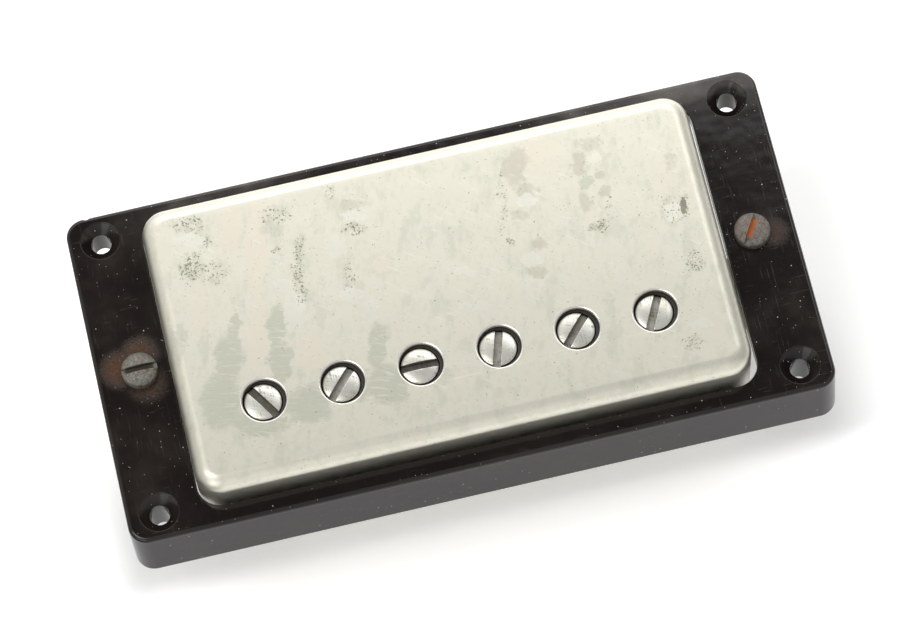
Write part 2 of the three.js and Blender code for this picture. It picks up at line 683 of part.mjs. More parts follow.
const pickupInRing = new THREE.Group();
const ringMaterial = () => finish(0x1b1614, 0.22, 0);
const nickelMaterial = () => finish(0xd3d0c2, 0.32, 0.85);
const screwMaterial = () => finish(0xa9a9a3, 0.34, 0.9);
const agedScrewMaterial = () => finish(0x6f6a60, 0.6, 0.8);
const springMaterial = () => finish(0x9a9a98, 0.4, 0.9);
const plateMaterial = () => finish(0xb9b39c, 0.4, 0.85);
const bobbinMaterial = () => finish(0x16130f, 0.45, 0);
const wireMaterial = () => finish(0x4a2417, 0.45, 0.4);
const tapeMaterial = () => finish(0x201d1a, 0.8, 0);
const magnetMaterial = () => finish(0x5e5c59, 0.7, 0.6);
const steelMaterial = () => finish(0x8f8f8c, 0.4, 0.9);
const mapleMaterial = () => finish(0xc9a778, 0.7, 0);
const brassMaterial = () => finish(0xb08d3c, 0.35, 0.9);
const solderMaterial = () => finish(0xb6b7b5, 0.35, 0.9);

piece(pickupInRing, 'mounting_ring', ringGeometry(), ringMaterial());

// Height screws hang in the ring, and a spring round each pushes the pickup down
const springLength = HEIGHT_BOSS_BOTTOM - FOOT_TOP - 2 * SEAT_GAP;
const leastGap = springGap(springRoute(springLength));
console.log(`least gap between the curls of a height spring: ${leastGap.toFixed(2)} mm`);

['left', 'right'].forEach((sideName, order) => {
  const x = (order === 0 ? -1 : 1) * HEIGHT_SCREW_X;
  const screwShape = slottedScrew({
    head: HEIGHT_HEAD,
    headHeight: HEIGHT_HEAD_HEIGHT,
    dome: HEIGHT_DOME,
    thread: HEIGHT_THREAD,
    length: HEIGHT_LENGTH,
    slot: HEIGHT_SLOT,
    slotDepth: HEIGHT_SLOT_DEPTH,
    slotAngle: HEIGHT_SLOT_ANGLES[order],
    sides: SCREW_SIDES,
  });
  const screw = piece(pickupInRing, `height_screw_${sideName}`, screwShape, agedScrewMaterial());
  screw.position.set(x, 0, RING_TOP + SEAT_GAP);
  const springShape = springGeometry(springLength);
  const spring = piece(pickupInRing, `height_spring_${sideName}`, springShape, springMaterial());
  spring.position.set(x, 0, FOOT_TOP + SEAT_GAP);
});

// The pickup hangs between the two height screws
const pickup = new THREE.Group();
pickup.position.set(HANG_X, 0, 0);
pickupInRing.add(pickup);

piece(pickup, 'cover', coverGeometry(), nickelMaterial()).position.x = COVER_SHIFT_X;
piece(pickup, 'baseplate', basePlateGeometry(), plateMaterial());

const build = windingBuild();
const coils = [
  { kind: 'screw', y: SCREW_ROW_Y, bore: POLE_THREAD / 2 + SCREW_GAP, headBore: POLE_HEAD / 2 + SCREW_GAP },
  { kind: 'slug', y: SLUG_ROW_Y, bore: SLUG_DIAMETER / 2 + SCREW_GAP, headBore: 0 },
];
coils.forEach(({ kind, y, bore, headBore }) => {
  const coil = new THREE.Group();
  coil.position.set(0, y, 0);
  pickup.add(coil);
  piece(coil, `${kind}_bobbin`, bobbinGeometry(bore, headBore), bobbinMaterial());
  piece(coil, `${kind}_coil_winding`, bandGeometry(build.core, build.wire), wireMaterial());
  piece(coil, `${kind}_coil_tape`, bandGeometry(build.tapeInside, build.tapeOutside), tapeMaterial());
});

polePlaces().forEach((x, pole) => {
  const screwShape = slottedScrew({
    head: POLE_HEAD,
    headHeight: POLE_HEAD_HEIGHT,
    dome: POLE_DOME,
    thread: POLE_THREAD,
    length: POLE_LENGTH,
    slot: POLE_SLOT,
    slotDepth: POLE_SLOT_DEPTH,
    slotAngle: POLE_SLOT_ANGLES[pole % POLE_SLOT_ANGLES.length],
    sides: SCREW_SIDES,
  });
  const screw = piece(pickup, `pole_screw_${pole + 1}`, screwShape, screwMaterial());
  screw.position.set(x, SCREW_ROW_Y, POLE_HEAD_SEAT);
});

polePlaces().forEach((x, pole) => {
  const top = BOBBIN_TOP + SLUG_PROUD;
  const slugShape = rod(0, 0, SLUG_DIAMETER / 2, BOBBIN_BOTTOM - SLUG_DROP, top, SCREW_SIDES);
  const slug = piece(pickup, `slug_${pole + 1}`, toGeometry(toSolid(slugShape)), steelMaterial());
  slug.position.set(x, SLUG_ROW_Y, 0);
});

const keeperLength = (POLE_COUNT - 1) * POLE_PITCH + 2 * KEEPER_END_MARGIN;
const keeperBore = POLE_THREAD / 2 + SCREW_GAP;
const keeperWidth = 2 * (keeperBore + KEEPER_WALL);
const keeperTop = BOBBIN_BOTTOM - KEEPER_TOP_GAP;
const keeperShape = barGeometry(keeperLength, keeperWidth, PLATE_TOP, keeperTop, keeperBore);
piece(pickup, 'keeper_bar', keeperShape, steelMaterial()).position.y = SCREW_ROW_Y;

// The magnet fills the space between the keeper bar and the slugs
const magnetFront = SCREW_ROW_Y + keeperWidth / 2 + MAGNET_SIDE_GAP;
const magnetRear = SLUG_ROW_Y - SLUG_DIAMETER / 2 - MAGNET_SIDE_GAP;
const magnetLength = BOBBIN_LENGTH - 2 * MAGNET_END_INSET;
const magnetShape = barGeometry(magnetLength, magnetRear - magnetFront, PLATE_TOP, BOBBIN_BOTTOM, 0);
piece(pickup, 'bar_magnet', magnetShape, magnetMaterial()).position.y = (magnetFront + magnetRear) / 2;

// The wooden spacer levels the rear bobbin behind the slugs
const spacerFront = SLUG_ROW_Y + SLUG_DIAMETER / 2 + SCREW_GAP;
const spacerRear = SLUG_ROW_Y + BOBBIN_WIDTH / 2 - SPACER_SIDE_INSET;
const spacerLength = CORE_LENGTH - 2 * SPACER_END_INSET;
const spacerShape = barGeometry(spacerLength, spacerRear - spacerFront, PLATE_TOP, BOBBIN_BOTTOM, 0);
piece(pickup, 'maple_spacer', spacerShape, mapleMaterial()).position.y = (spacerFront + spacerRear) / 2;

// Four brass screws come up through the base plate into the bobbins' cores
[SCREW_ROW_Y, SLUG_ROW_Y].forEach((row, rowOrder) => {
  [-1, 1].forEach((side, sideOrder) => {
    const order = 2 * rowOrder + sideOrder;
    const screwShape = slottedScrew({
      head: BOBBIN_SCREW_HEAD,
      headHeight: BOBBIN_SCREW_HEAD_HEIGHT,
      dome: BOBBIN_SCREW_DOME,
      thread: BOBBIN_SCREW_THREAD,
      length: BOBBIN_SCREW_LENGTH,
      slot: BOBBIN_SCREW_SLOT,
      slotDepth: BOBBIN_SCREW_SLOT_DEPTH,
      slotAngle: BOBBIN_SLOT_ANGLES[order],
      sides: SMALL_SIDES,
    });
    const screw = piece(pickup, `bobbin_screw_${order + 1}`, screwShape, brassMaterial());
    screw.rotation.x = Math.PI;
    screw.position.set(side * BOBBIN_SCREW_X, row, PLATE_BOTTOM);
  });
});

// Solder bridges the seam between the cover's rim and the plate on both long sides
['front', 'rear'].forEach((sideName, order) => {
  const y = (order === 0 ? -1 : 1) * (COVER_WIDTH / 2 - SOLDER_WIDTH / 2 - COVER_TO_PLATE / 2);
  const blob = piece(pickup, `solder_${sideName}`, toGeometry(toSolid(solderGeometry())), solderMaterial());
  blob.position.set(0, y, PLATE_BOTTOM);
});

export default pickupInRing;
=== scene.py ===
"""Dresses a packed guitar pickup in its mounting ring: fine shapes, worn finishes and a plain studio.

Lengths are metres, and in the finishes millimetres. X runs along the row of pole screws, Y from the
front to the rear, and Z up.
"""

import math

import bmesh
import bpy
from bpy.props import FloatProperty, FloatVectorProperty, IntProperty, PointerProperty
from bpy.types import Operator, Panel, PropertyGroup
from mathutils import Matrix, Vector, noise


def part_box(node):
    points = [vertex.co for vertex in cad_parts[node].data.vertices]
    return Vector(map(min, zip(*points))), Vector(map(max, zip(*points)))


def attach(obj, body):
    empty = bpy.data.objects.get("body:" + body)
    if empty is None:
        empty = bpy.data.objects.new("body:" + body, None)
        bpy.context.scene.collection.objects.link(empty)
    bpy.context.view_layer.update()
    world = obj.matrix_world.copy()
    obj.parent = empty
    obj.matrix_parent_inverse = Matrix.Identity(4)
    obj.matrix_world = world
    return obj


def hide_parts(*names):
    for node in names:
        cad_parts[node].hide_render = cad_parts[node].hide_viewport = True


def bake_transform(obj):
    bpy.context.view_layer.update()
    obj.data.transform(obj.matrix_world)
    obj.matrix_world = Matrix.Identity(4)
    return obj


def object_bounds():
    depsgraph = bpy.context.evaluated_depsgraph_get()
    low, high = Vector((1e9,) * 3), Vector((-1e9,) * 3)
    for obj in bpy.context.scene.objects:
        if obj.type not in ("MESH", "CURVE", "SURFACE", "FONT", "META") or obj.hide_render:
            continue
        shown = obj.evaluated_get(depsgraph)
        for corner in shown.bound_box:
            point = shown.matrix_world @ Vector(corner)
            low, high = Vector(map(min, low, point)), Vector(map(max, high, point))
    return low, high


bl_info = {
    "name": "Guitar Pickup In Its Ring",
    "version": (1, 0, 0),
    "blender": (4, 5, 0),
    "location": "3D View > Sidebar > Pickup",
    "description": "Builds the looks of a covered twin-coil guitar pickup in its mounting ring",
    "category": "Object",
}

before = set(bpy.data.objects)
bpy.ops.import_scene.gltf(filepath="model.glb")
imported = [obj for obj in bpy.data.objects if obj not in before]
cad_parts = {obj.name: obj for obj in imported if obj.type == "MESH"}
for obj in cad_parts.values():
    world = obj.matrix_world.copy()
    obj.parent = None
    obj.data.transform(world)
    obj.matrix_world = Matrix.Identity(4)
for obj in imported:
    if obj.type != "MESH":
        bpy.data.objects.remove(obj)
CAD_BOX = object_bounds()

MM = 0.001
QUARTER = math.pi / 2
FULL_TURN = 2 * math.pi

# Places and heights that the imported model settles
RING_LOW, RING_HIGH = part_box("mounting_ring")
COVER_LOW, COVER_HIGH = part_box("cover")
RING_TOP = RING_HIGH.z
COVER_CENTRE = (COVER_LOW + COVER_HIGH) / 2
COVER_LENGTH = COVER_HIGH.x - COVER_LOW.x
COVER_WIDTH = COVER_HIGH.y - COVER_LOW.y
POLE_ORDER = range(1, 7)
POLE_NAMES = [f"pole_screw_{order}" for order in POLE_ORDER]
HEIGHT_SIDES = ["left", "right"]

# Fineness of the facets
CORNER_STEPS = 20
ROUND_STEPS = 16
EDGE_STEPS = 8
HEAD_SIDES = 72
HOLE_SIDES = 72
THREAD_SIDES = 32
ROWS_PER_THREAD = 6
WIRE_SIDES = 10
STEPS_PER_CURL = 40
BEVEL_SEGMENTS = 2
CHIP_FINENESS = 2
SOLDER_FINENESS = 5

# Cuts run this far past what they go through
OVERRUN = 1 * MM
# Doubled points lie closer than the first length, and those of a loose or wrapped mesh than the second
DOUBLED = 1e-7
LOOSELY_DOUBLED = 10 * DOUBLED

# Edges under the first angle are shaded smooth, over the second they are eased, and under the third
# they are dissolved
SMOOTH_ANGLE = math.radians(32)
BEVEL_ANGLE = math.radians(38)
FLAT_ANGLE = math.radians(0.5)


def length(name, description, millimetres):
    """A length property, given in millimetres."""
    return FloatProperty(
        name=name,
        description=description,
        default=millimetres * MM,
        min=0,
        precision=5,
        subtype="DISTANCE",
        unit="LENGTH",
    )


def colour(name, description, default):
    """A colour property."""
    return FloatVectorProperty(
        name=name,
        description=description,
        default=default,
        min=0,
        max=1,
        subtype="COLOR",
    )


def amount(name, description, default, high=1.0):
    """A plain number from nothing to a limit."""
    return FloatProperty(name=name, description=description, default=default, min=0, max=high)


def angle(name, description, degrees):
    """An angle property, given in degrees."""
    return FloatProperty(
        name=name,
        description=description,
        default=math.radians(degrees),
        subtype="ANGLE",
        unit="ROTATION",
    )


class RingSizes(PropertyGroup):
    """Sizes of the mounting ring."""

    gap_x: length("End gap", "Between the cover and the opening at each end", 0.45)
    snug: length("Snug end", "How much closer the opening's left end lies to the cover", 0.15)
    gap_y: length("Side gap", "Between the cover and the opening at each side", 0.4)
    end_land: length("End land", "From the opening to the ring's end", 9.325)
    side_land: length("Side land", "From the opening to the ring's side", 3.3)
    corner: length("Corner", "Radius of the outer corners", 2.4)
    opening_corner: length("Opening corner", "Radius of the opening's corners", 3)
    opening_edge: length("Opening edge", "Rounding of the opening's upper edge", 0.2)
    edge: length("Edge", "Rounding of the outer upper edge", 0.5)
    draft: length("Draft", "How far the long walls lean in over the ring's height", 0.8)
    end_in: length("End inset", "From the foot's end to the upright end wall", 0.2)
    plate: length("Plate", "Thickness of the plate over the hollow ends", 2)
    wall: length("Wall", "Thickness of the outer wall", 2)
    taper: angle("Taper", "Slope of the underside", 2.89)
    fixing_in_x: length("Fixing inset X", "From the ring's end to a fixing hole", 4.3)
    fixing_in_y: length("Fixing inset Y", "From the ring's side to a fixing hole", 4.25)
    fixing_hole: length("Fixing hole", "Diameter of a fixing hole", 2.55)
    sink_rim: length("Sink rim", "Width of the countersink round a hole", 1.275)
    sink_depth: length("Sink depth", "Depth of the countersink", 1.3)
    sink_edge: length("Sink edge", "Rounding where the countersink meets the top", 0.1)
    fixing_boss_wall: length("Fixing boss wall", "Wall of a fixing boss outside the countersink", 0.45)
    screw_hole: length("Screw hole", "Diameter of a height screw's hole", 3.1)
    screw_boss: length("Screw boss", "Diameter of a height screw's boss", 6.4)
    screw_boss_drop: length("Screw boss drop", "How far that boss hangs below the plate", 2.4)
    chip: length("Chip", "Size of the chip in the far edge", 0.5)


class CoverSizes(PropertyGroup):
    """Sizes of the drawn cover."""

    wall: length("Wall", "Thickness of the sheet", 0.5)
    corner: length("Corner", "Radius of the corners in plan", 3.2)
    round: length("Shoulder", "Radius of the shoulder round the top", 2)
    hole: length("Hole", "Diameter of a pole screw's hole", 5.45)
    lip: length("Lip", "Rounding of a hole's upper edge", 0.22)


class ScrewSizes(PropertyGroup):
    """Sizes of one kind of slotted screw."""

    head: length("Head", "Diameter of the head", 4.7)
    head_height: length("Head height", "Height of the head with its dome", 1.8)
    dome: length("Dome", "Height of the dome alone", 0.35)
    edge: length("Edge", "Rounding of the slot's edges", 0.05)
    thread: length("Thread", "Outer diameter of the thread", 3.18)
    thread_depth: length("Thread depth", "Depth of the thread", 0.34)
    pitch: length("Pitch", "Distance from one turn of the thread to the next", 0.635)
    slot: length("Slot", "Width of the slot", 1)
    slot_depth: length("Slot depth", "Depth of the slot from the top of the dome", 0.9)


class SpringSizes(PropertyGroup):
    """Sizes of the springs round the height screws."""

    wire: length("Wire", "Diameter of the wire", 0.55)
    diameter: length("Diameter", "Middle diameter of the curls", 3.9)
    curls: IntProperty(name="Curls", description="Number of curls", default=10, min=3)


class Finishes(PropertyGroup):
    """Colours of the finishes."""

    ring: colour("Ring", "Black-brown moulding", (0.0085, 0.0058, 0.005))
    ring_haze: colour("Ring haze", "Handled, duller moulding", (0.016, 0.0115, 0.0095))
    dust: colour("Dust", "Specks of dust and scuffs", (0.5, 0.47, 0.43))
    rust: colour("Rust", "Rust that has crept from the height screws", (0.1, 0.04, 0.015))
    rust_bright: colour("Bright rust", "Fresh rust in a slot", (0.55, 0.16, 0.035))
    nickel: colour("Nickel", "Aged plate", (0.67, 0.654, 0.557))
    nickel_clean: colour("Clean nickel", "Cold, rubbed patches", (0.518, 0.522, 0.431))
    nickel_warm: colour("Warm nickel", "Warm bands where the plate is thin", (0.69, 0.643, 0.545))
    nickel_beige: colour("Beige nickel", "Dull beige patches", (0.49, 0.458, 0.375))
    nickel_stain: colour("Stain", "Grey cloudy stains", (0.487, 0.483, 0.383))
    # Painted highlight round the lips of the cover's holes
    nickel_rim_highlight: colour("Bright rims", "Rubbed rims of the cover's holes", (0.9, 0.88, 0.82))
    # Also the painted highlight along the far shoulder
    pale_nickel_and_highlight: colour("Pale nickel", "Pale wiped marks", (0.748, 0.739, 0.652))
    pit: colour("Pit", "Pits through the plate", (0.209, 0.196, 0.144))
    # Brown dirt, made pale enough to stand in for light that barely reaches the walls of the holes
    hole_dirt_and_light: colour("Hole dirt", "Brown dirt on the walls of the cover's holes", (0.45, 0.33, 0.24))
    pole: colour("Pole screw", "Worn nickel of the pole screws", (0.6, 0.595, 0.55))
    # Also the painted shade in the pole screws' slots
    grime_and_shade: colour("Grime", "Brown dirt in slots and holes", (0.05, 0.036, 0.026))
    aged: colour("Aged screw", "Corroded height screws", (0.2, 0.175, 0.155))
    aged_green: colour("Green film", "Greenish film on the height screws", (0.19, 0.205, 0.165))
    spring: colour("Spring", "Drawn wire", (0.45, 0.45, 0.44))
    plate: colour("Base plate", "Rolled nickel silver", (0.56, 0.53, 0.44))
    bobbin: colour("Bobbin", "Black moulding of the bobbins", (0.02, 0.018, 0.015))
    wire: colour("Coil wire", "Enamelled copper", (0.16, 0.06, 0.035))
    tape: colour("Coil tape", "Black paper tape", (0.025, 0.022, 0.02))
    steel: colour("Steel", "Turned steel of slugs and keeper", (0.42, 0.42, 0.41))
    magnet: colour("Magnet", "Cast magnet", (0.16, 0.155, 0.15))
    maple: colour("Maple", "Sawn maple", (0.56, 0.4, 0.22))
    brass: colour("Brass", "Turned brass", (0.55, 0.42, 0.16))
    solder: colour("Solder", "Dull solder", (0.48, 0.49, 0.48))


class StageSettings(PropertyGroup):
    """Camera, floor and light."""

    elevation: angle("Elevation", "Camera's height above the horizon", 68.2143)
    azimuth: angle("Azimuth", "Camera's turn round the object", -6.5032)
    roll: angle("Roll", "Camera's turn about its own axis", -6.82)
    distance: length("Distance", "Camera to the middle of the ring's top", 561.911)
    aside: FloatProperty(name="Aside", description="View's offset to the right", default=-0.3757 * MM)
    above: FloatProperty(name="Above", description="View's offset upwards", default=1.8539 * MM)
    lens: amount("Lens", "Focal length in millimetres on the usual sensor", 181.023, 500)
    floor: length("Floor", "Side of the square floor", 6000)
    overhead: amount("Overhead", "Strength of the sky straight above", 0.68)
    horizon: amount("Horizon", "Strength of the sky at the horizon on the left", 0.95)
    gap: amount("Gap", "Strength of the sky that the flat tops mirror to the camera", 0.12)
    horizon_right: amount("Right horizon", "Strength of the sky at the horizon on the right", 0.6)
    high_lamp: amount("High lamp", "Power of the lamp above the left end", 3.2, 100)
    rear_sky: amount("Rear sky", "Strength of the sky above the horizon at the rear", 1.35)
    rear_lamp: amount("Rear lamp", "Power of the wide lamp above the rear", 2.6, 100)
    front_lamp: amount("Front lamp", "Power of the lamp at the front left", 0.8, 100)


class PickupSettings(PropertyGroup):
    """Everything that a user would change."""

    ring: PointerProperty(type=RingSizes)
    cover: PointerProperty(type=CoverSizes)
    pole_screw: PointerProperty(type=ScrewSizes)
    height_screw: PointerProperty(type=ScrewSizes)
    bobbin_screw: PointerProperty(type=ScrewSizes)
    spring: PointerProperty(type=SpringSizes)
    finish: PointerProperty(type=Finishes)
    stage: PointerProperty(type=StageSettings)


# Sizes of the two other kinds of screw, in millimetres
SCREW_KINDS = {
    "height_screw": {
        "head": 4.5,
        "head_height": 1.6,
        "dome": 0.75,
        "thread": 2.5,
        "thread_depth": 0.28,
        "pitch": 0.529,
        "slot": 0.8,
        "slot_depth": 0.8,
    },
    "bobbin_screw": {
        "head": 3.6,
        "head_height": 1.1,
        "dome": 0.45,
        "thread": 2,
        "thread_depth": 0.24,
        "pitch": 0.45,
        "slot": 0.6,
        "slot_depth": 0.6,
    },
}

# Directions of the slots as seen from above, in degrees
POLE_SLOTS = [-57, 48, -1, 74, 48, 64]
HEIGHT_SLOTS = [1, 59]
BOBBIN_SLOTS = [30, 75, 110, 160]


def settings():
    """The scene's sizes and colours."""
    return bpy.context.scene.pickup_look


class Wire:
    """A socket of a node tree. A sum or product of wires and numbers adds its Math nodes."""

    def __init__(self, board, node, socket):
        self.board = board
        self.node = node
        self.socket = socket

    def other(self, key):
        """Another output of the same node."""
        return Wire(self.board, self.node, find(self.node.outputs, key))

    def __add__(self, value):
        return self.board.maths("ADD", self, value)

    def __sub__(self, value):
        return self.board.maths("SUBTRACT", self, value)

    def __rsub__(self, value):
        return self.board.maths("SUBTRACT", value, self)

    def __mul__(self, value):
        return self.board.maths("MULTIPLY", self, value)

    def __truediv__(self, value):
        return self.board.maths("DIVIDE", self, value)

    def __gt__(self, value):
        return self.board.maths("GREATER_THAN", self, value)

    def __lt__(self, value):
        return self.board.maths("LESS_THAN", self, value)

    __radd__ = __add__
    __rmul__ = __mul__


def find(sockets, key):
    """A socket by its order, identifier or name."""
    if isinstance(key, int):
        return sockets[key]
    for socket in sockets:
        if socket.identifier == key:
            return socket
    return next(socket for socket in sockets if socket.name == key and socket.enabled)


# A soft oval fades out between these shares of its half sizes
OVAL_EDGE_SHARES = (1.15, 0.55)
# The matt shader that takes over from a glossy one
MATT = {"Roughness": 0.7, "Specular IOR Level": 0.08}


class Board:
    """A node tree that is being built."""

    def __init__(self, tree):
        self.tree = tree
        tree.nodes.clear()

    def add(self, kind, settings=None, inputs=None, out=0):
        """Adds a node: its type, its settings, and the values or wires of its sockets."""
        node = self.tree.nodes.new(kind)
        for name, value in (settings or {}).items():
            setattr(node, name, value)
        for key, value in (inputs or {}).items():
            self.feed(find(node.inputs, key), value)
        if not node.outputs:
            return Wire(self, node, None)
        return Wire(self, node, find(node.outputs, out))

    def feed(self, socket, value):
        """Gives a socket a value, a wire, or several wires."""
        if isinstance(value, Wire):
            self.tree.links.new(value.socket, socket)
        elif isinstance(value, list):
            for wire in value:
                self.tree.links.new(wire.socket, socket)
        elif socket.type == "RGBA":
            socket.default_value = (*tuple(value)[:3], 1)
        else:
            socket.default_value = value

    def maths(self, operation, *values):
        """A Math node of this operation."""
        return self.add("ShaderNodeMath", {"operation": operation}, dict(enumerate(values)))

    def vector(self, operation, *values, out="Vector"):
        """A Vector Math node of this operation."""
        return self.add("ShaderNodeVectorMath", {"operation": operation}, dict(enumerate(values)), out)

    def clamp(self, value):
        """The value, kept between nothing and one."""
        return self.add("ShaderNodeClamp", {}, {"Value": value})

    def most(self, first, second):
        """The larger of two values."""
        return self.maths("MAXIMUM", first, second)

    def mix(self, share, first, second):
        """Turns one colour into another."""
        inputs = {"Factor_Float": share, "A_Color": first, "B_Color": second}
        return self.add("ShaderNodeMix", {"data_type": "RGBA"}, inputs, "Result_Color")

    def scaled(self, shade, share):
        """A colour made darker or brighter."""
        inputs = {"Vector": shade, "Scale": share}
        return self.add("ShaderNodeVectorMath", {"operation": "SCALE"}, inputs)

    def rise(self, value, start, end):
        """Nothing at the start, one at the end, and smooth between."""
        inputs = {"Value": value, "From Min": start, "From Max": end}
        return self.add("ShaderNodeMapRange", {"interpolation_type": "SMOOTHSTEP"}, inputs, "Result")

    def below(self, height, top, depths):
        """Nothing above the first depth under a top, and one below the second, in millimetres."""
        start, end = depths
        return self.rise(height, top / MM - start, top / MM - end)

    def millimetres(self):
        """Place on the object, in millimetres."""
        place = self.add("ShaderNodeTexCoord", out="Object")
        return self.vector("MULTIPLY", place, (1 / MM,) * 3)

    def parts_of(self, place):
        """The three numbers of a place."""
        split = self.add("ShaderNodeSeparateXYZ", {}, {"Vector": place}, "X")
        return split, split.other("Y"), split.other("Z")

    def cloud(self, place, scale, stretch=(1, 1, 1), detail=3.0, rough=0.55, out=0):
        """Soft noise. The stretch squeezes it along each axis."""
        squeezed = self.vector("MULTIPLY", place, tuple(scale * part for part in stretch))
        inputs = {"Vector": squeezed, "Scale": 1.0, "Detail": detail, "Roughness": rough}
        return self.add("ShaderNodeTexNoise", {}, inputs, out)

    def cells(self, place, scale, stretch=(1, 1, 1)):
        """Distance to the nearest of many scattered points."""
        squeezed = self.vector("MULTIPLY", place, tuple(scale * part for part in stretch))
        return self.add("ShaderNodeTexVoronoi", {}, {"Vector": squeezed, "Scale": 1.0}, "Distance")

    def specks(self, place, speck, stretch=(1, 1, 1)):
        """Scattered specks, from their cells to a millimetre, share, rim, core and strength."""
        scale, share, rim, core, strength = speck
        cells = self.cells(place, scale, stretch)
        tone, _, _ = self.parts_of(cells.other("Color"))
        return (tone < share) * self.rise(cells, rim, core) * strength

    def flat_distance(self, place, shift, squeeze=(1, 1, 0)):
        """Distance from the origin, seen from above, once a place is squeezed and shifted."""
        flat = self.vector("MULTIPLY_ADD", place, squeeze, shift)
        return self.vector("LENGTH", flat, out="Value")

    def patch(self, place, spot):
        """A soft oval: its place, its half sizes and its strength, in millimetres."""
        x, y, half_x, half_y, strength = spot
        squeeze = (1 / half_x, 1 / half_y, 0)
        reach = self.flat_distance(place, (-x / half_x, -y / half_y, 0), squeeze)
        return self.rise(reach, *OVAL_EDGE_SHARES) * strength

    def patches(self, place, spots):
        """The strongest of several soft ovals."""
        marks = [self.patch(place, spot) for spot in spots]
        strongest = marks[0]
        for mark in marks[1:]:
            strongest = self.most(strongest, mark)
        return strongest

    def finish(self, inputs, bumps=(), dull=None):
        """Ends a material in a Principled shader. A bump is a height and a distance.

        Where the dull share is given, a matt shader of the same colour takes over there.
        """
        normal = None
        for height, distance in bumps:
            bump = {"Height": height, "Distance": distance * MM, "Strength": 1.0}
            if normal:
                bump["Normal"] = normal
            normal = self.add("ShaderNodeBump", {}, bump, "Normal")
        if normal:
            inputs["Normal"] = normal
        shader = self.add("ShaderNodeBsdfPrincipled", {}, inputs)
        if dull:
            other = self.add("ShaderNodeBsdfPrincipled", {}, {"Base Color": inputs["Base Color"], **MATT})
            shader = self.add("ShaderNodeMixShader", {}, {"Fac": dull, 1: shader, 2: other})
        self.add("ShaderNodeOutputMaterial", {}, {"Surface": shader})


# The stains run down the cover at this angle, and their places are given along and across it
STREAK_LEAN = math.radians(13)

# Marks on the cover, judged one by one: place x and y, half sizes and strength, in millimetres
CLEAN_SPOTS = [
    (-25.9, -5.0, 1.0, 2.6, 1.0),
    (-26.5, -9.0, 2.0, 4.4, 1.0),
    (-27.4, -14.5, 3.0, 4.6, 1.0),
    (-22.5, -17.5, 4.0, 2.0, 0.9),
    (-20.7, -5.0, 1.3, 4.0, 1.0),
    (-20.2, -9.8, 1.8, 3.4, 1.0),
    (-16.7, -15.2, 3.6, 2.8, 1.0),
    (-8.3, -7.8, 1.4, 3.8, 1.0),
    (-7.0, -12.6, 3.2, 3.2, 1.0),
    (-10.6, -13.6, 1.8, 1.8, 0.9),
    (-21.5, 8.0, 2.0, 1.4, 0.6),
    (-32.6, -7.0, 1.0, 3.4, 0.6),
    (17.3, 13.8, 1.1, 1.2, 0.9),
    (-0.5, -12.0, 2.0, 1.6, 0.55),
]
WARM_SPOTS = [
    (-23.4, 6.6, 1.6, 8.5, 1.0),
    (-23.0, -6.2, 1.5, 6.2, 1.0),
    (-26.6, 8.2, 1.6, 6.0, 0.7),
    (-16.4, -8.4, 2.0, 3.0, 0.9),
    (-30.5, -2.0, 1.4, 5.0, 0.7),
    (-7.9, 3.2, 1.4, 1.4, 0.7),
    (12.0, 17.6, 3.0, 3.2, 0.6),
    (26.8, 14.0, 1.6, 3.0, 0.5),
    (33.0, -4.0, 1.4, 5.0, 0.5),
]
BEIGE_SPOTS = [
    (8.7, 16.2, 1.9, 3.2, 1.0),
    (10.0, 12.8, 1.6, 1.4, 0.8),
    (9.2, 9.4, 1.5, 0.9, 0.8),
    (17.8, 19.0, 1.9, 1.2, 0.8),
    (16.7, 16.4, 1.0, 1.9, 1.0),
    (19.0, 14.8, 0.9, 1.0, 1.0),
    (19.5, 12.6, 1.0, 1.0, 0.9),
    (17.4, 11.2, 1.1, 1.5, 0.9),
    (11.6, 5.6, 1.5, 0.9, 0.9),
    (11.2, 2.0, 1.6, 1.2, 0.8),
    (28.0, 16.4, 1.0, 2.2, 0.6),
    (-15.8, 8.8, 1.1, 2.0, 0.5),
    (-11.8, 11.3, 1.8, 1.0, 0.9),
    (-28.0, 2.4, 1.5, 2.0, 0.5),
]
PALE_SPOTS = [
    (-20.1, 0.4, 1.8, 1.0, 1.0),
    (-18.6, -3.0, 1.6, 3.4, 0.9),
    (-11.8, -0.7, 1.7, 1.3, 1.0),
    (-11.4, 9.7, 2.2, 0.9, 0.9),
    (-9.3, -3.1, 1.4, 1.9, 0.8),
    (-32.0, 6.6, 2.4, 1.0, 0.9),
    (-13.6, 5.6, 1.6, 2.4, 0.6),
    (10.2, 11.4, 1.6, 0.9, 1.0),
    (10.7, 3.4, 1.7, 1.1, 1.0),
    (2.4, 2.2, 1.6, 0.7, 0.9),
    (3.6, -2.6, 2.4, 0.7, 1.0),
    (1.0, -3.4, 1.2, 0.5, 0.8),
    (18.6, 16.8, 1.2, 0.9, 0.9),
    (28.3, 9.8, 1.4, 1.6, 1.0),
    (31.4, -5.4, 1.8, 0.7, 0.7),
]
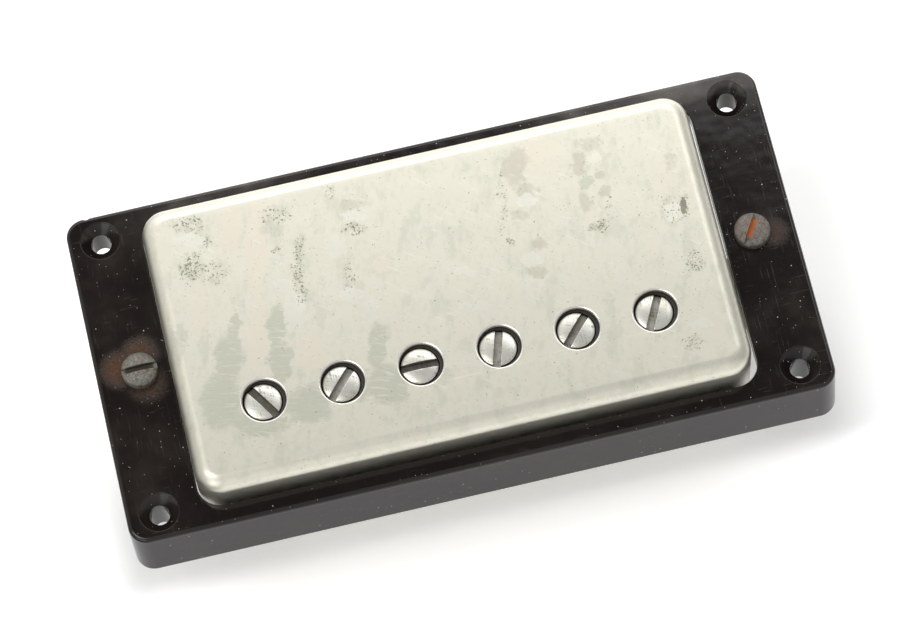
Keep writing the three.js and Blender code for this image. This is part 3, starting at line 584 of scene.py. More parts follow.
PIT_SPOTS = [
    (-31.8, 8.7, 2.8, 1.6, 0.8),
    (-29.7, 6.4, 0.8, 1.4, 0.8),
    (-31.2, 3.0, 1.9, 2.5, 1.0),
    (-21.0, 9.9, 2.4, 1.6, 0.7),
    (-21.2, 5.3, 0.7, 0.6, 0.9),
    (-18.1, 5.6, 0.8, 2.0, 0.9),
    (-18.2, 2.4, 1.0, 2.2, 0.9),
    (-17.8, -0.4, 0.8, 1.7, 0.8),
    (-11.1, 7.9, 1.9, 0.9, 0.9),
    (-14.4, 12.9, 0.8, 1.5, 0.7),
    (-11.8, 1.6, 0.8, 2.4, 0.7),
    (-28.2, 2.2, 1.6, 2.2, 0.5),
    (7.0, 12.2, 0.5, 6.0, 0.6),
    (8.2, 6.0, 0.7, 0.5, 0.9),
    (19.0, 7.7, 1.5, 1.0, 0.9),
    (20.2, 11.0, 0.4, 2.2, 0.6),
    (28.3, 9.8, 2.0, 2.3, 0.45),
    (29.5, 10.4, 0.5, 1.9, 1.0),
    (30.8, 3.0, 1.7, 1.7, 0.8),
    (30.3, -7.6, 1.5, 1.2, 0.6),
]

# Rust on the ring: place x and y, reach and strength, in millimetres, and how far its border strays
RUST_SPOTS = [
    (-41.3, 0.9, 3.3, 1.0),
    (-38.6, 2.4, 3.0, 0.9),
    (-38.4, -1.8, 3.6, 0.45),
    (41.6, -0.6, 2.4, 0.5),
]
RUST_STRAY = 6
# Specks: cells to a millimetre, the share of them that hold one, its rim and its core, and its strength
RING_DUST = (1.2, 0.16, 0.11, 0.06, 1)
RING_FINE_DUST = (2.6, 0.12, 0.16, 0.08, 0.6)
RING_HAIRS = (1.6, 0.1, 0.09, 0.05, 0.4)
COVER_STRAY_PITS = (0.55, 0.06, 0.06, 0.03, 0.8)
# The turns of the hair-like scratches in the ring's top, and how their cells are squeezed
HAIR_TURNS = (math.radians(35), math.radians(-50))
HAIR_STRETCH = (0.22, 1, 1)
# Where the painted sheen, a pale film on the far strip, sets in: to the rear, beside the middle, on the
# left
RING_SHEEN_FILM_REAR = (18.6, 19.6)
RING_SHEEN_FILM_ASIDE = (10, 24)
RING_SHEEN_FILM_LEFT = (-35.5, -29)
# How far under the ring's top its wall starts and is whole
RING_WALL_DEPTHS = (0.3, 0.9)


def turned_place(board, place, turn):
    """The same place in a frame turned about the vertical."""
    inputs = {"Vector": place, "Angle": turn}
    return board.add("ShaderNodeVectorRotate", {"rotation_type": "Z_AXIS"}, inputs)


def ring_finish(board, tones):
    """Glossy black-brown moulding, finely scratched, dusty, and rusty round the height screws."""
    place = board.millimetres()
    aside, _, _ = board.parts_of(board.vector("ABSOLUTE", place))
    x, y, z = board.parts_of(place)
    wall = board.below(z, RING_TOP, RING_WALL_DEPTHS)
    haze = board.rise(board.cloud(place, 0.11, detail=5.0), 0.42, 0.72)
    shade = board.mix(haze, tones.ring, tones.ring_haze)
    # Painted sheen: the far strip is made paler, like a film of dust, in place of its reflection of the
    # rear sky
    film = board.rise(aside, *RING_SHEEN_FILM_ASIDE) * board.rise(x, *RING_SHEEN_FILM_LEFT)
    film = film * board.rise(y, *RING_SHEEN_FILM_REAR) * (1 - wall)
    shade = board.mix(film * (0.06 + haze * 0.16), shade, tones.dust)
    flecks = board.cloud(place, 2.6, detail=5.0, rough=0.75)
    halo = None
    for spot_x, spot_y, reach, strength in RUST_SPOTS:
        away = board.flat_distance(place, (-spot_x, -spot_y, 0)) + (flecks - 0.5) * RUST_STRAY
        spot = board.rise(away, reach, reach / 5) * strength
        halo = board.most(halo, spot) if halo else spot
    rusty = board.clamp(halo * board.rise(flecks, 0.38, 0.56))
    crumbs = board.rise(board.cloud(place, 4.5, detail=3.0, rough=0.7), 0.6, 0.7)
    shade = board.mix(rusty, shade, tones.rust)
    dust = board.most(board.specks(place, RING_DUST), board.specks(place, RING_FINE_DUST))
    specks = board.most(dust, board.clamp(crumbs * halo) * 0.22)
    for turn in HAIR_TURNS:
        hairs = board.specks(turned_place(board, place, turn), RING_HAIRS, HAIR_STRETCH)
        specks = board.most(specks, hairs)
    shade = board.mix(specks, shade, tones.dust)
    scratch = board.cloud(place, 5.0, (1, 0.05, 1), detail=2.0)
    crossed = board.cloud(place, 5.0, (0.06, 1, 1), detail=2.0)
    lines = board.rise(scratch, 0.62, 0.75) + board.rise(crossed, 0.66, 0.78)
    rough = board.clamp(0.1 + haze * 0.08 + lines * 0.1 + rusty * 0.1 + specks * 0.4 + wall * 0.05)
    board.finish(
        {"Base Color": shade, "Roughness": rough, "IOR": 1.5, "Specular IOR Level": 0.42},
        [
            (board.cloud(place, 0.22, detail=2.0), 0.03),
            (lines, -0.003),
            (rusty * flecks, 0.05),
            (specks, 0.02),
        ],
        board.clamp(wall * 0.2 + rusty),
    )


def hole_row():
    """The first hole's place in the cover and the distance from one hole to the next."""
    boxes = [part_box(name) for name in POLE_NAMES]
    middles = [(low + high) / 2 for low, high in boxes]
    aside = COVER_CENTRE.x - (middles[0].x + middles[-1].x) / 2
    pitch = (middles[-1].x - middles[0].x) / (len(middles) - 1)
    return middles[0].x + aside, middles[0].y, pitch


def hole_distance(board, place):
    """Distance to the middle of the nearest hole in the cover, in millimetres."""
    first_x, line_y, pitch = (part / MM for part in hole_row())
    x, y, _ = board.parts_of(place)
    along = board.maths("WRAP", x - first_x, pitch / 2, -pitch / 2)
    flat = board.add("ShaderNodeCombineXYZ", {}, {"X": along, "Y": y - line_y})
    return board.vector("LENGTH", flat, out="Value")


# How far the marks' outlines stray in slow bends and in ragged ones, in millimetres
SLOW_STRAY = (2.2, 2.2, 0)
RAGGED_STRAY = (2.0, 1.2, 0)
# The deep scar near the far right corner, and the turn of the wiping marks
SCAR = (29.5, 10.4, 0.4, 1.5, 1.0)
WIPE_TURN = math.radians(24)
# The plate's tone at its front edge and how much it rises to the far one, a painted shade and light, how
# much brighter a painted highlight leaves the front shoulder, and how much less of that shows on the wall
COVER_FRONT_PAINTED_SHADE = 0.86
COVER_PAINTED_LIGHT_RISE = 0.17
COVER_FRONT_PAINTED_HIGHLIGHT = 0.42
COVER_WALL_LESS_HIGHLIGHT = 0.32
# How far outside the flat top's edge the far shoulder turns pale and the front one bright, both painted
# highlights
COVER_FAR_HIGHLIGHT_REACH = (-0.8, 0.6)
COVER_FRONT_HIGHLIGHT_REACH = (0.35, 1.35)
# How far under the cover's top the dirt in the holes with its painted light, the front wall's lesser
# painted highlight and the gloss of the walls start and are whole
COVER_HOLE_DEPTHS = (0.2, 0.34)
COVER_LESS_HIGHLIGHT_DEPTHS = (0.4, 1.4)
COVER_WALL_DEPTHS = (1.2, 2.4)
# How far outside a hole its bright rim, a painted highlight, starts and is whole, and how far inside the
# flat top's ends the rims and the dirt in the holes, with its painted light, end
RIM_HIGHLIGHT_REACH = (0.32, 0.16)
RIM_HIGHLIGHT_END = 2.5
HOLE_DIRT_AND_LIGHT_END = 0.5


def cover_finish(board, tones):
    """Aged nickel: rubbed and stained patches with ragged edges, pits and fine wiping marks."""
    sizes = settings().cover
    plain = board.millimetres()
    place = turned_place(board, plain, STREAK_LEAN)
    slow = board.cloud(place, 0.5, detail=3.0, out=1)
    ragged = board.cloud(place, 1.9, (0.6, 1, 1), detail=6.0, rough=0.75, out=1)
    shaken = place
    for noises, stray in ((slow, SLOW_STRAY), (ragged, RAGGED_STRAY)):
        centred = board.vector("SUBTRACT", noises, (0.5,) * 3)
        shaken = board.vector("MULTIPLY_ADD", centred, stray, shaken)
    grain = board.cloud(place, 1.2, (1, 0.7, 1), detail=6.0, rough=0.7)
    mottle = board.cloud(place, 0.42, (1, 0.5, 1), detail=6.0, rough=0.66)
    streaks = board.cloud(place, 0.55, (1, 0.12, 0.4), detail=4.0)
    brushed = board.cloud(place, 3.5, (0.09, 1, 1), detail=4.0, rough=0.7)
    shade = board.mix(board.rise(streaks, 0.4, 0.66) * 0.28, tones.nickel, tones.nickel_warm)
    shade = board.mix(board.rise(mottle, 0.5, 0.64) * 0.4, shade, tones.nickel_clean)
    shade = board.mix(board.rise(mottle, 0.48, 0.36) * 0.16, shade, tones.nickel_warm)
    shade = board.mix(board.rise(grain, 0.5, 0.64) * 0.18, shade, tones.nickel_beige)
    warm = board.rise(board.patches(shaken, WARM_SPOTS), 0.1, 0.9)
    shade = board.mix(warm * board.rise(streaks, 0.1, 0.5), shade, tones.nickel_warm)
    rubbed = board.patches(shaken, CLEAN_SPOTS) + (grain - 0.5) * 1.1 + (brushed - 0.5) * 0.6
    clean = board.rise(rubbed, 0.15, 0.95)
    shade = board.mix(clean * (0.45 + brushed * 0.95), shade, tones.nickel_clean)
    shade = board.mix(clean * board.rise(brushed, 0.52, 0.66) * 0.5, shade, tones.pale_nickel_and_highlight)
    beige = board.rise(board.patches(shaken, BEIGE_SPOTS) + (grain - 0.5) * 1.5, 0.15, 1.05)
    shade = board.mix(beige * 0.6, shade, tones.nickel_beige)
    pitting = board.patches(shaken, PIT_SPOTS)
    stained = board.clamp(pitting * board.rise(grain, 0.36, 0.62))
    shade = board.mix(stained * 0.85, shade, tones.nickel_stain)
    pale = board.rise(board.patches(shaken, PALE_SPOTS) + (grain - 0.5) * 0.8, 0.25, 0.8)
    wiped = turned_place(board, place, WIPE_TURN)
    wipes = board.rise(board.cloud(wiped, 1.3, (0.25, 1.8, 1), detail=4.0, rough=0.6), 0.6, 0.7) * 0.5
    shade = board.mix(board.most(pale * 0.65, wipes), shade, tones.pale_nickel_and_highlight)
    fine = board.cloud(place, 3.6, detail=2.0, rough=0.6)
    holes = board.rise(fine + pitting * 0.15, 0.685, 0.74)
    strays = board.specks(place, COVER_STRAY_PITS)
    scar = board.rise(board.patch(place, SCAR) + (fine - 0.5) * 1.6, 0.35, 0.75)
    holes = board.clamp(board.most(board.most(holes * 0.75, strays), scar * 0.8))
    shade = board.mix(holes, shade, tones.pit)
    _, y, z = board.parts_of(plain)
    x_out, y_out, _ = board.parts_of(board.vector("ABSOLUTE", plain))
    flat_side = COVER_HIGH.y / MM - sizes.round / MM
    flat_end = COVER_LENGTH / 2 / MM - sizes.round / MM
    # Painted highlight: the far shoulder is turned pale
    far = board.rise(y, *(flat_side + out for out in COVER_FAR_HIGHLIGHT_REACH))
    shade = board.mix(far * 0.8, shade, tones.pale_nickel_and_highlight)
    # Painted highlight: a bright rim round the lip of each hole
    rim = board.rise(hole_distance(board, plain), *(sizes.hole / 2 / MM + out for out in RIM_HIGHLIGHT_REACH))
    rim = rim * (x_out < flat_end - RIM_HIGHLIGHT_END)
    shade = board.mix(rim * 0.85, shade, tones.nickel_rim_highlight)
    # Brown dirt on the hole walls, its pale tone painted light where these walls get little
    in_hole = board.below(z, COVER_HIGH.z, COVER_HOLE_DEPTHS)
    in_hole = board.clamp(in_hole * (y_out < flat_side) * (x_out < flat_end - HOLE_DIRT_AND_LIGHT_END))
    shade = board.mix(in_hole * 0.8, shade, tones.hole_dirt_and_light)
    # Painted shade and light: the plate is darker to the front, lighter to the rear, and brighter on the
    # front shoulder
    tone = COVER_FRONT_PAINTED_SHADE + board.rise(y, COVER_LOW.y / MM, COVER_HIGH.y / MM) * COVER_PAINTED_LIGHT_RISE
    less_highlight = board.below(z, COVER_HIGH.z, COVER_LESS_HIGHLIGHT_DEPTHS) * COVER_WALL_LESS_HIGHLIGHT
    near = board.rise(y, *(-flat_side - out for out in COVER_FRONT_HIGHLIGHT_REACH))
    shade = board.scaled(shade, tone + near * (COVER_FRONT_PAINTED_HIGHLIGHT - less_highlight))
    drawn = board.cloud(place, 6.0, (1, 0.05, 0.3), detail=3.0)
    walled = board.below(z, COVER_HIGH.z, COVER_WALL_DEPTHS)
    rough = 0.36 + grain * 0.08 + stained * 0.12 + holes * 0.3 - pale * 0.04 - rim * 0.16
    rough = board.clamp(rough - walled * 0.03)
    board.finish(
        {
            "Base Color": shade,
            "Roughness": rough,
            "Metallic": board.clamp(1 - stained * 0.2 - holes * 0.5 - in_hole * 0.8),
        },
        [
            (board.cloud(place, 0.12, detail=2.0), 0.05),
            (brushed + drawn, 0.0016),
            (grain, 0.006),
            (holes, -0.04),
        ],
    )


# Painted shade in the pole screws' slots: the screw's place along the row and how much, and how far to
# each side of that place the shade ends
SHADED_SLOTS = [(-25.0, 0.65), (-5.3, 0.7), (14.4, 0.3)]
SHADED_SLOT_ENDS = (3.5, 3)
# How far under the cover's top the darkening of a pole screw's side and the painted shade in its slot
# start and are whole
POLE_SIDE_DEPTHS = (0.9, 1.5)
POLE_SLOT_DEPTHS = (0.75, 1.1)


def pole_finish(board, tones):
    """Worn nickel of the pole screws, scratched on top, darker low down, and with painted shade in some
    slots.
    """
    place = board.millimetres()
    x, _, z = board.parts_of(place)
    low = board.below(z, COVER_HIGH.z, POLE_SIDE_DEPTHS)
    slot = board.below(z, COVER_HIGH.z, POLE_SLOT_DEPTHS)
    blotch = board.cloud(place, 0.8, detail=5.0, rough=0.6)
    lines = board.cloud(place, 6.0, (1, 0.1, 0.2), detail=3.0)
    crossed = board.cloud(turned_place(board, place, WIPE_TURN), 5.0, (0.08, 1, 0.2), detail=3.0)
    worn = board.rise(lines + crossed, 1.06, 1.25)
    shade = board.mix(board.rise(blotch, 0.42, 0.66) * 0.7, tones.pole, tones.nickel_stain)
    shade = board.mix(worn * 0.45, shade, tones.grime_and_shade)
    shade = board.mix(board.clamp(low * (0.55 + blotch * 0.45)), shade, tones.grime_and_shade)
    # Painted shade on the floors of three slots
    for middle, dirt in SHADED_SLOTS:
        near = board.rise(board.maths("ABSOLUTE", x - middle), *SHADED_SLOT_ENDS)
        shade = board.mix(slot * near * dirt, shade, tones.grime_and_shade)
    rough = board.clamp(0.27 + blotch * 0.12 + worn * 0.2 + low * 0.25)
    board.finish(
        {"Base Color": shade, "Roughness": rough, "Metallic": 1 - low * 0.3},
        [(lines + crossed, 0.0015), (blotch, 0.01)],
    )


# Where a height screw stands to each side of the middle, how far above the ring its head starts and its
# slot's floor lies, and between which reaches and heights over that floor the slot's rust and darkening
# end
HEIGHT_SCREW_X = 39.0
AGED_HEAD_START = 0.5
AGED_SLOT_FLOOR = 0.85
AGED_SLOT_ENDS = (2.0, 1.6)
AGED_SLOT_FILL = (0.55, 0.1)
# Where the fresh rust starts and ends along the right screw's slot
FRESH_RUST_START = (-1.2, -0.9)
FRESH_RUST_END = (1.6, 1.2)


def aged_finish(board, tones):
    """Corroded height screws, with fresh rust in the right one's slot and a darker slot in the left one.
    """
    place = board.millimetres()
    x, _, z = board.parts_of(place)
    left = x < 0
    crust = board.cloud(place, 1.9, detail=6.0, rough=0.75)
    grit = board.cloud(place, 5.0, detail=4.0, rough=0.8)
    film = board.cloud(place, 0.9, detail=4.0)
    shade = board.mix(board.rise(film, 0.4, 0.6) * (0.25 + left * 0.6), tones.aged, tones.aged_green)
    shade = board.mix(board.rise(crust, 0.5, 0.64) * 0.6, shade, tones.grime_and_shade)
    shade = board.mix(board.rise(film, 0.54, 0.66) * 0.5, shade, tones.rust)
    shade = board.mix(board.rise(grit, 0.54, 0.66) * 0.8, shade, tones.grime_and_shade)
    shade = board.mix(board.rise(grit, 0.42, 0.34) * 0.55, shade, tones.pole)
    slot_floor = RING_TOP / MM + AGED_SLOT_FLOOR
    from_axis = board.flat_distance(board.vector("ABSOLUTE", place), (-HEIGHT_SCREW_X, 0, 0))
    deep = board.rise(z, *(slot_floor + up for up in AGED_SLOT_FILL))
    deep = deep * (z > RING_TOP / MM + AGED_HEAD_START) * board.rise(from_axis, *AGED_SLOT_ENDS)
    ways = board.vector("SUBTRACT", place, (HEIGHT_SCREW_X, 0, 0))
    turn = math.radians(HEIGHT_SLOTS[1])
    along = board.vector("DOT_PRODUCT", ways, (math.cos(turn), math.sin(turn), 0), out="Value")
    filled = board.rise(along, *FRESH_RUST_START) * board.rise(along, *FRESH_RUST_END)
    crumbs = board.rise(grit, 0.62, 0.48)
    fresh = board.clamp(deep * (x > 0) * filled * (0.45 + crumbs * 0.55))
    shade = board.mix(fresh, shade, tones.rust_bright)
    # The left screw's slot is made darker
    dark = board.clamp(deep * left)
    shade = board.mix(dark * 0.85, shade, tones.grime_and_shade)
    rough = board.clamp(0.42 + crust * 0.3 + fresh * 0.3)
    board.finish(
        {"Base Color": shade, "Roughness": rough, "Metallic": board.clamp(0.8 - crust * 0.5 - fresh)},
        [(crust, 0.12), (grit, 0.05)],
    )


def metal_finish(tone, rough, line_stretch, second):
    """A maker of finishes for plain metals with drawn or rolled lines."""

    def build(board, tones):
        """The metal's own tone, tarnished in places and finely scratched."""
        place = board.millimetres()
        lines = board.cloud(place, 5.0, line_stretch, detail=3.0)
        tarnish = board.cloud(place, 0.35, detail=5.0, rough=0.6)
        dulled = board.rise(tarnish, 0.45, 0.7) * 0.55
        shade = board.mix(dulled, getattr(tones, tone), getattr(tones, second))
        scratches = board.rise(board.cloud(place, 3.0, (1, 0.07, 0.3), detail=2.0), 0.64, 0.76)
        roughness = board.clamp(rough + tarnish * 0.16 + scratches * 0.12)
        board.finish(
            {"Base Color": shade, "Roughness": roughness, "Metallic": 0.95},
            [(lines, 0.004), (tarnish, 0.012), (scratches, -0.006)],
        )

    return build


def moulded_finish(board, tones):
    """Black moulding of the bobbins, a little grained."""
    place = board.millimetres()
    grain = board.cloud(place, 3.0, detail=4.0)
    shade = board.mix(board.rise(grain, 0.4, 0.7), tones.bobbin, tones.ring_haze)
    board.finish({"Base Color": shade, "Roughness": 0.38 + grain * 0.2}, [(grain, 0.02)])


def wound_finish(board, tones):
    """Enamelled copper wire, each turn a little lighter or darker."""
    place = board.millimetres()
    turns = board.cloud(place, 9.0, (0.03, 0.03, 1), detail=2.0)
    shade = board.mix(board.rise(turns, 0.35, 0.65), tones.wire, tones.rust)
    rough = 0.3 + turns * 0.2
    board.finish({"Base Color": shade, "Roughness": rough, "Metallic": 0.5}, [(turns, 0.02)])


def tape_finish(board, tones):
    """Black paper tape with its fibres."""
    place = board.millimetres()
    fibres = board.cloud(place, 4.0, (0.4, 0.4, 2.5), detail=5.0, rough=0.7)
    shade = board.mix(board.rise(fibres, 0.45, 0.7), tones.tape, tones.grime_and_shade)
    board.finish({"Base Color": shade, "Roughness": 0.7 + fibres * 0.2}, [(fibres, 0.03)])


def cast_finish(board, tones):
    """Sand-cast magnet, grainy and dark."""
    place = board.millimetres()
    grains = board.cloud(place, 2.6, detail=6.0, rough=0.75)
    shade = board.mix(board.rise(grains, 0.4, 0.66), tones.magnet, tones.grime_and_shade)
    rough = 0.5 + grains * 0.3
    board.finish({"Base Color": shade, "Roughness": rough, "Metallic": 0.6}, [(grains, 0.06)])


def timber_finish(board, tones):
    """Sawn maple with its grain along the strip."""
    place = board.millimetres()
    grain = board.cloud(place, 1.8, (0.06, 1, 1), detail=5.0)
    shade = board.mix(board.rise(grain, 0.4, 0.65) * 0.6, tones.maple, tones.rust)
    board.finish({"Base Color": shade, "Roughness": 0.55 + grain * 0.2}, [(grain, 0.03)])


FINISH_MAKERS = {
    "ring_plastic": ring_finish,
    "cover_nickel": cover_finish,
    "pole_nickel": pole_finish,
    "aged_screw": aged_finish,
    "spring_steel": metal_finish("spring", 0.3, (0.2, 0.2, 1), "aged"),
    "plate_nickel_silver": metal_finish("plate", 0.3, (0.04, 1, 0.3), "nickel_stain"),
    "bobbin_plastic": moulded_finish,
    "coil_wire": wound_finish,
    "coil_tape": tape_finish,
    "pole_steel": metal_finish("steel", 0.3, (1, 1, 0.1), "aged"),
    "magnet": cast_finish,
    "maple": timber_finish,
    "brass": metal_finish("brass", 0.26, (1, 0.2, 1), "maple"),
    "solder": metal_finish("solder", 0.24, (1, 1, 1), "aged"),
}

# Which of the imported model's own nodes stay, and their finishes
KEPT_NODES = {
    "screw_bobbin": "bobbin_plastic",
    "slug_bobbin": "bobbin_plastic",
    "keeper_bar": "pole_steel",
    "bar_magnet": "magnet",
    "maple_spacer": "maple",
    **{f"slug_{order}": "pole_steel" for order in POLE_ORDER},
    **{f"{kind}_coil_winding": "coil_wire" for kind in ("screw", "slug")},
    **{f"{kind}_coil_tape": "coil_tape" for kind in ("screw", "slug")},
}


def material(name):
    """The material of a finish, made the first time that it is asked for."""
    made = bpy.data.materials.get(name + "_look")
    if made is None:
        made = bpy.data.materials.new(name + "_look")
        made.use_nodes = True
        FINISH_MAKERS[name](Board(made.node_tree), settings().finish)
    return made


def show(name, mesh_maker):
    """A new object in the scene, from a mesh that is still being edited."""
    mesh = bpy.data.meshes.new(name)
    mesh_maker.normal_update()
    mesh_maker.to_mesh(mesh)
    mesh_maker.free()
    piece = bpy.data.objects.new(name, mesh)
    bpy.context.scene.collection.objects.link(piece)
    return piece


def discard(*pieces):
    """Takes pieces out of the scene."""
    for piece in pieces:
        bpy.data.objects.remove(piece)


def settle(piece):
    """Applies what the modifiers make, and removes them."""
    bpy.context.view_layer.update()
    graph = bpy.context.evaluated_depsgraph_get()
    mesh = bpy.data.meshes.new_from_object(piece.evaluated_get(graph), depsgraph=graph)
    piece.modifiers.clear()
    piece.data = mesh
    return piece


def cut(body, *cutters):
    """Cuts the other solids out of the first."""
    for cutter in cutters:
        modifier = body.modifiers.new("cut", "BOOLEAN")
        modifier.operation = "DIFFERENCE"
        modifier.solver = "EXACT"
        modifier.object = cutter
    settle(body)
    discard(*cutters)
    return body


def soften(piece, bevel=0.0):
    """Merges doubled points, eases sharp edges, and shades the rest smooth."""
    bm = bmesh.new()
    bm.from_mesh(piece.data)
    bmesh.ops.remove_doubles(bm, verts=bm.verts, dist=DOUBLED)
    bmesh.ops.dissolve_degenerate(bm, edges=bm.edges, dist=DOUBLED)
    bm.to_mesh(piece.data)
    bm.free()
    if bevel:
        modifier = piece.modifiers.new("ease", "BEVEL")
        modifier.width = bevel
        modifier.segments = BEVEL_SEGMENTS
        modifier.limit_method = "ANGLE"
        modifier.angle_limit = BEVEL_ANGLE
        modifier.use_clamp_overlap = True
        settle(piece)
    for face in piece.data.polygons:
        face.use_smooth = True
    piece.data.set_sharp_from_angle(angle=SMOOTH_ANGLE)
    weighted = piece.modifiers.new("even", "WEIGHTED_NORMAL")
    weighted.keep_sharp = True
    return settle(piece)


def dress(piece, finish, body, *nodes):
    """Gives a finished piece its material and its body, and hides the imported nodes that it stands for.
    """
    piece.data.materials.clear()
    piece.data.materials.append(material(finish))
    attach(piece, body)
    if nodes:
        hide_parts(*nodes)
    return piece


def centre_of(node):
    """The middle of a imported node, as seen from above."""
    low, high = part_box(node)
    return (low.x + high.x) / 2, (low.y + high.y) / 2


def rounded_outline(long, wide, corner, steps=CORNER_STEPS):
    """Points of a rectangle with round corners, anticlockwise."""
    radius = min(corner, long / 2, wide / 2)
    points = []
    for turn, (side_x, side_y) in enumerate(((1, 1), (-1, 1), (-1, -1), (1, -1))):
        for step in range(steps + 1):
            turned = (turn + step / steps) * QUARTER
            x = side_x * (long / 2 - radius) + radius * math.cos(turned)
            y = side_y * (wide / 2 - radius) + radius * math.sin(turned)
            points.append((x, y))
    return points


def ring_of(bm, points, z, centre=(0, 0)):
    """Adds a level ring of points."""
    return [bm.verts.new((x + centre[0], y + centre[1], z)) for x, y in points]


def bridge(bm, low, high):
    """Joins two rings that have as many points each, with faces that point outwards."""
    count = len(low)
    for side in range(count):
        after = (side + 1) % count
        bm.faces.new((low[side], low[after], high[after], high[side]))


def loft(name, levels, centre=(0, 0)):
    """A closed solid through level outlines, each its points and its height."""
    bm = bmesh.new()
    rings = [ring_of(bm, points, z, centre) for points, z in levels]
    for low, high in zip(rings, rings[1:]):
        bridge(bm, low, high)
    bm.faces.new(reversed(rings[0]))
    bm.faces.new(rings[-1])
    return show(name, bm)


def circle(radius, sides):
    """Points of a circle."""
    turns = [FULL_TURN * side / sides for side in range(sides)]
    return [(radius * math.cos(turn), radius * math.sin(turn)) for turn in turns]


def turned_solid(name, profile, centre=(0, 0), sides=HOLE_SIDES):
    """A turned solid from radii and heights, lowest first."""
    return loft(name, [(circle(radius, sides), z) for radius, z in profile], centre)


def arc(steps):
    """Cosines and sines of a quarter turn, from level to upright."""
    turns = [QUARTER * step / steps for step in range(steps + 1)]
    return [(math.cos(turn), math.sin(turn)) for turn in turns]


# The chip's place along the ring, how far out its middle lies, its height and how ragged it is
CHIP_PLACE_SHARE = -0.466
CHIP_OUT_SHARE = 0.22
CHIP_TALL_SHARE = 2.4
CHIP_RAGGED_SHARE = 0.5


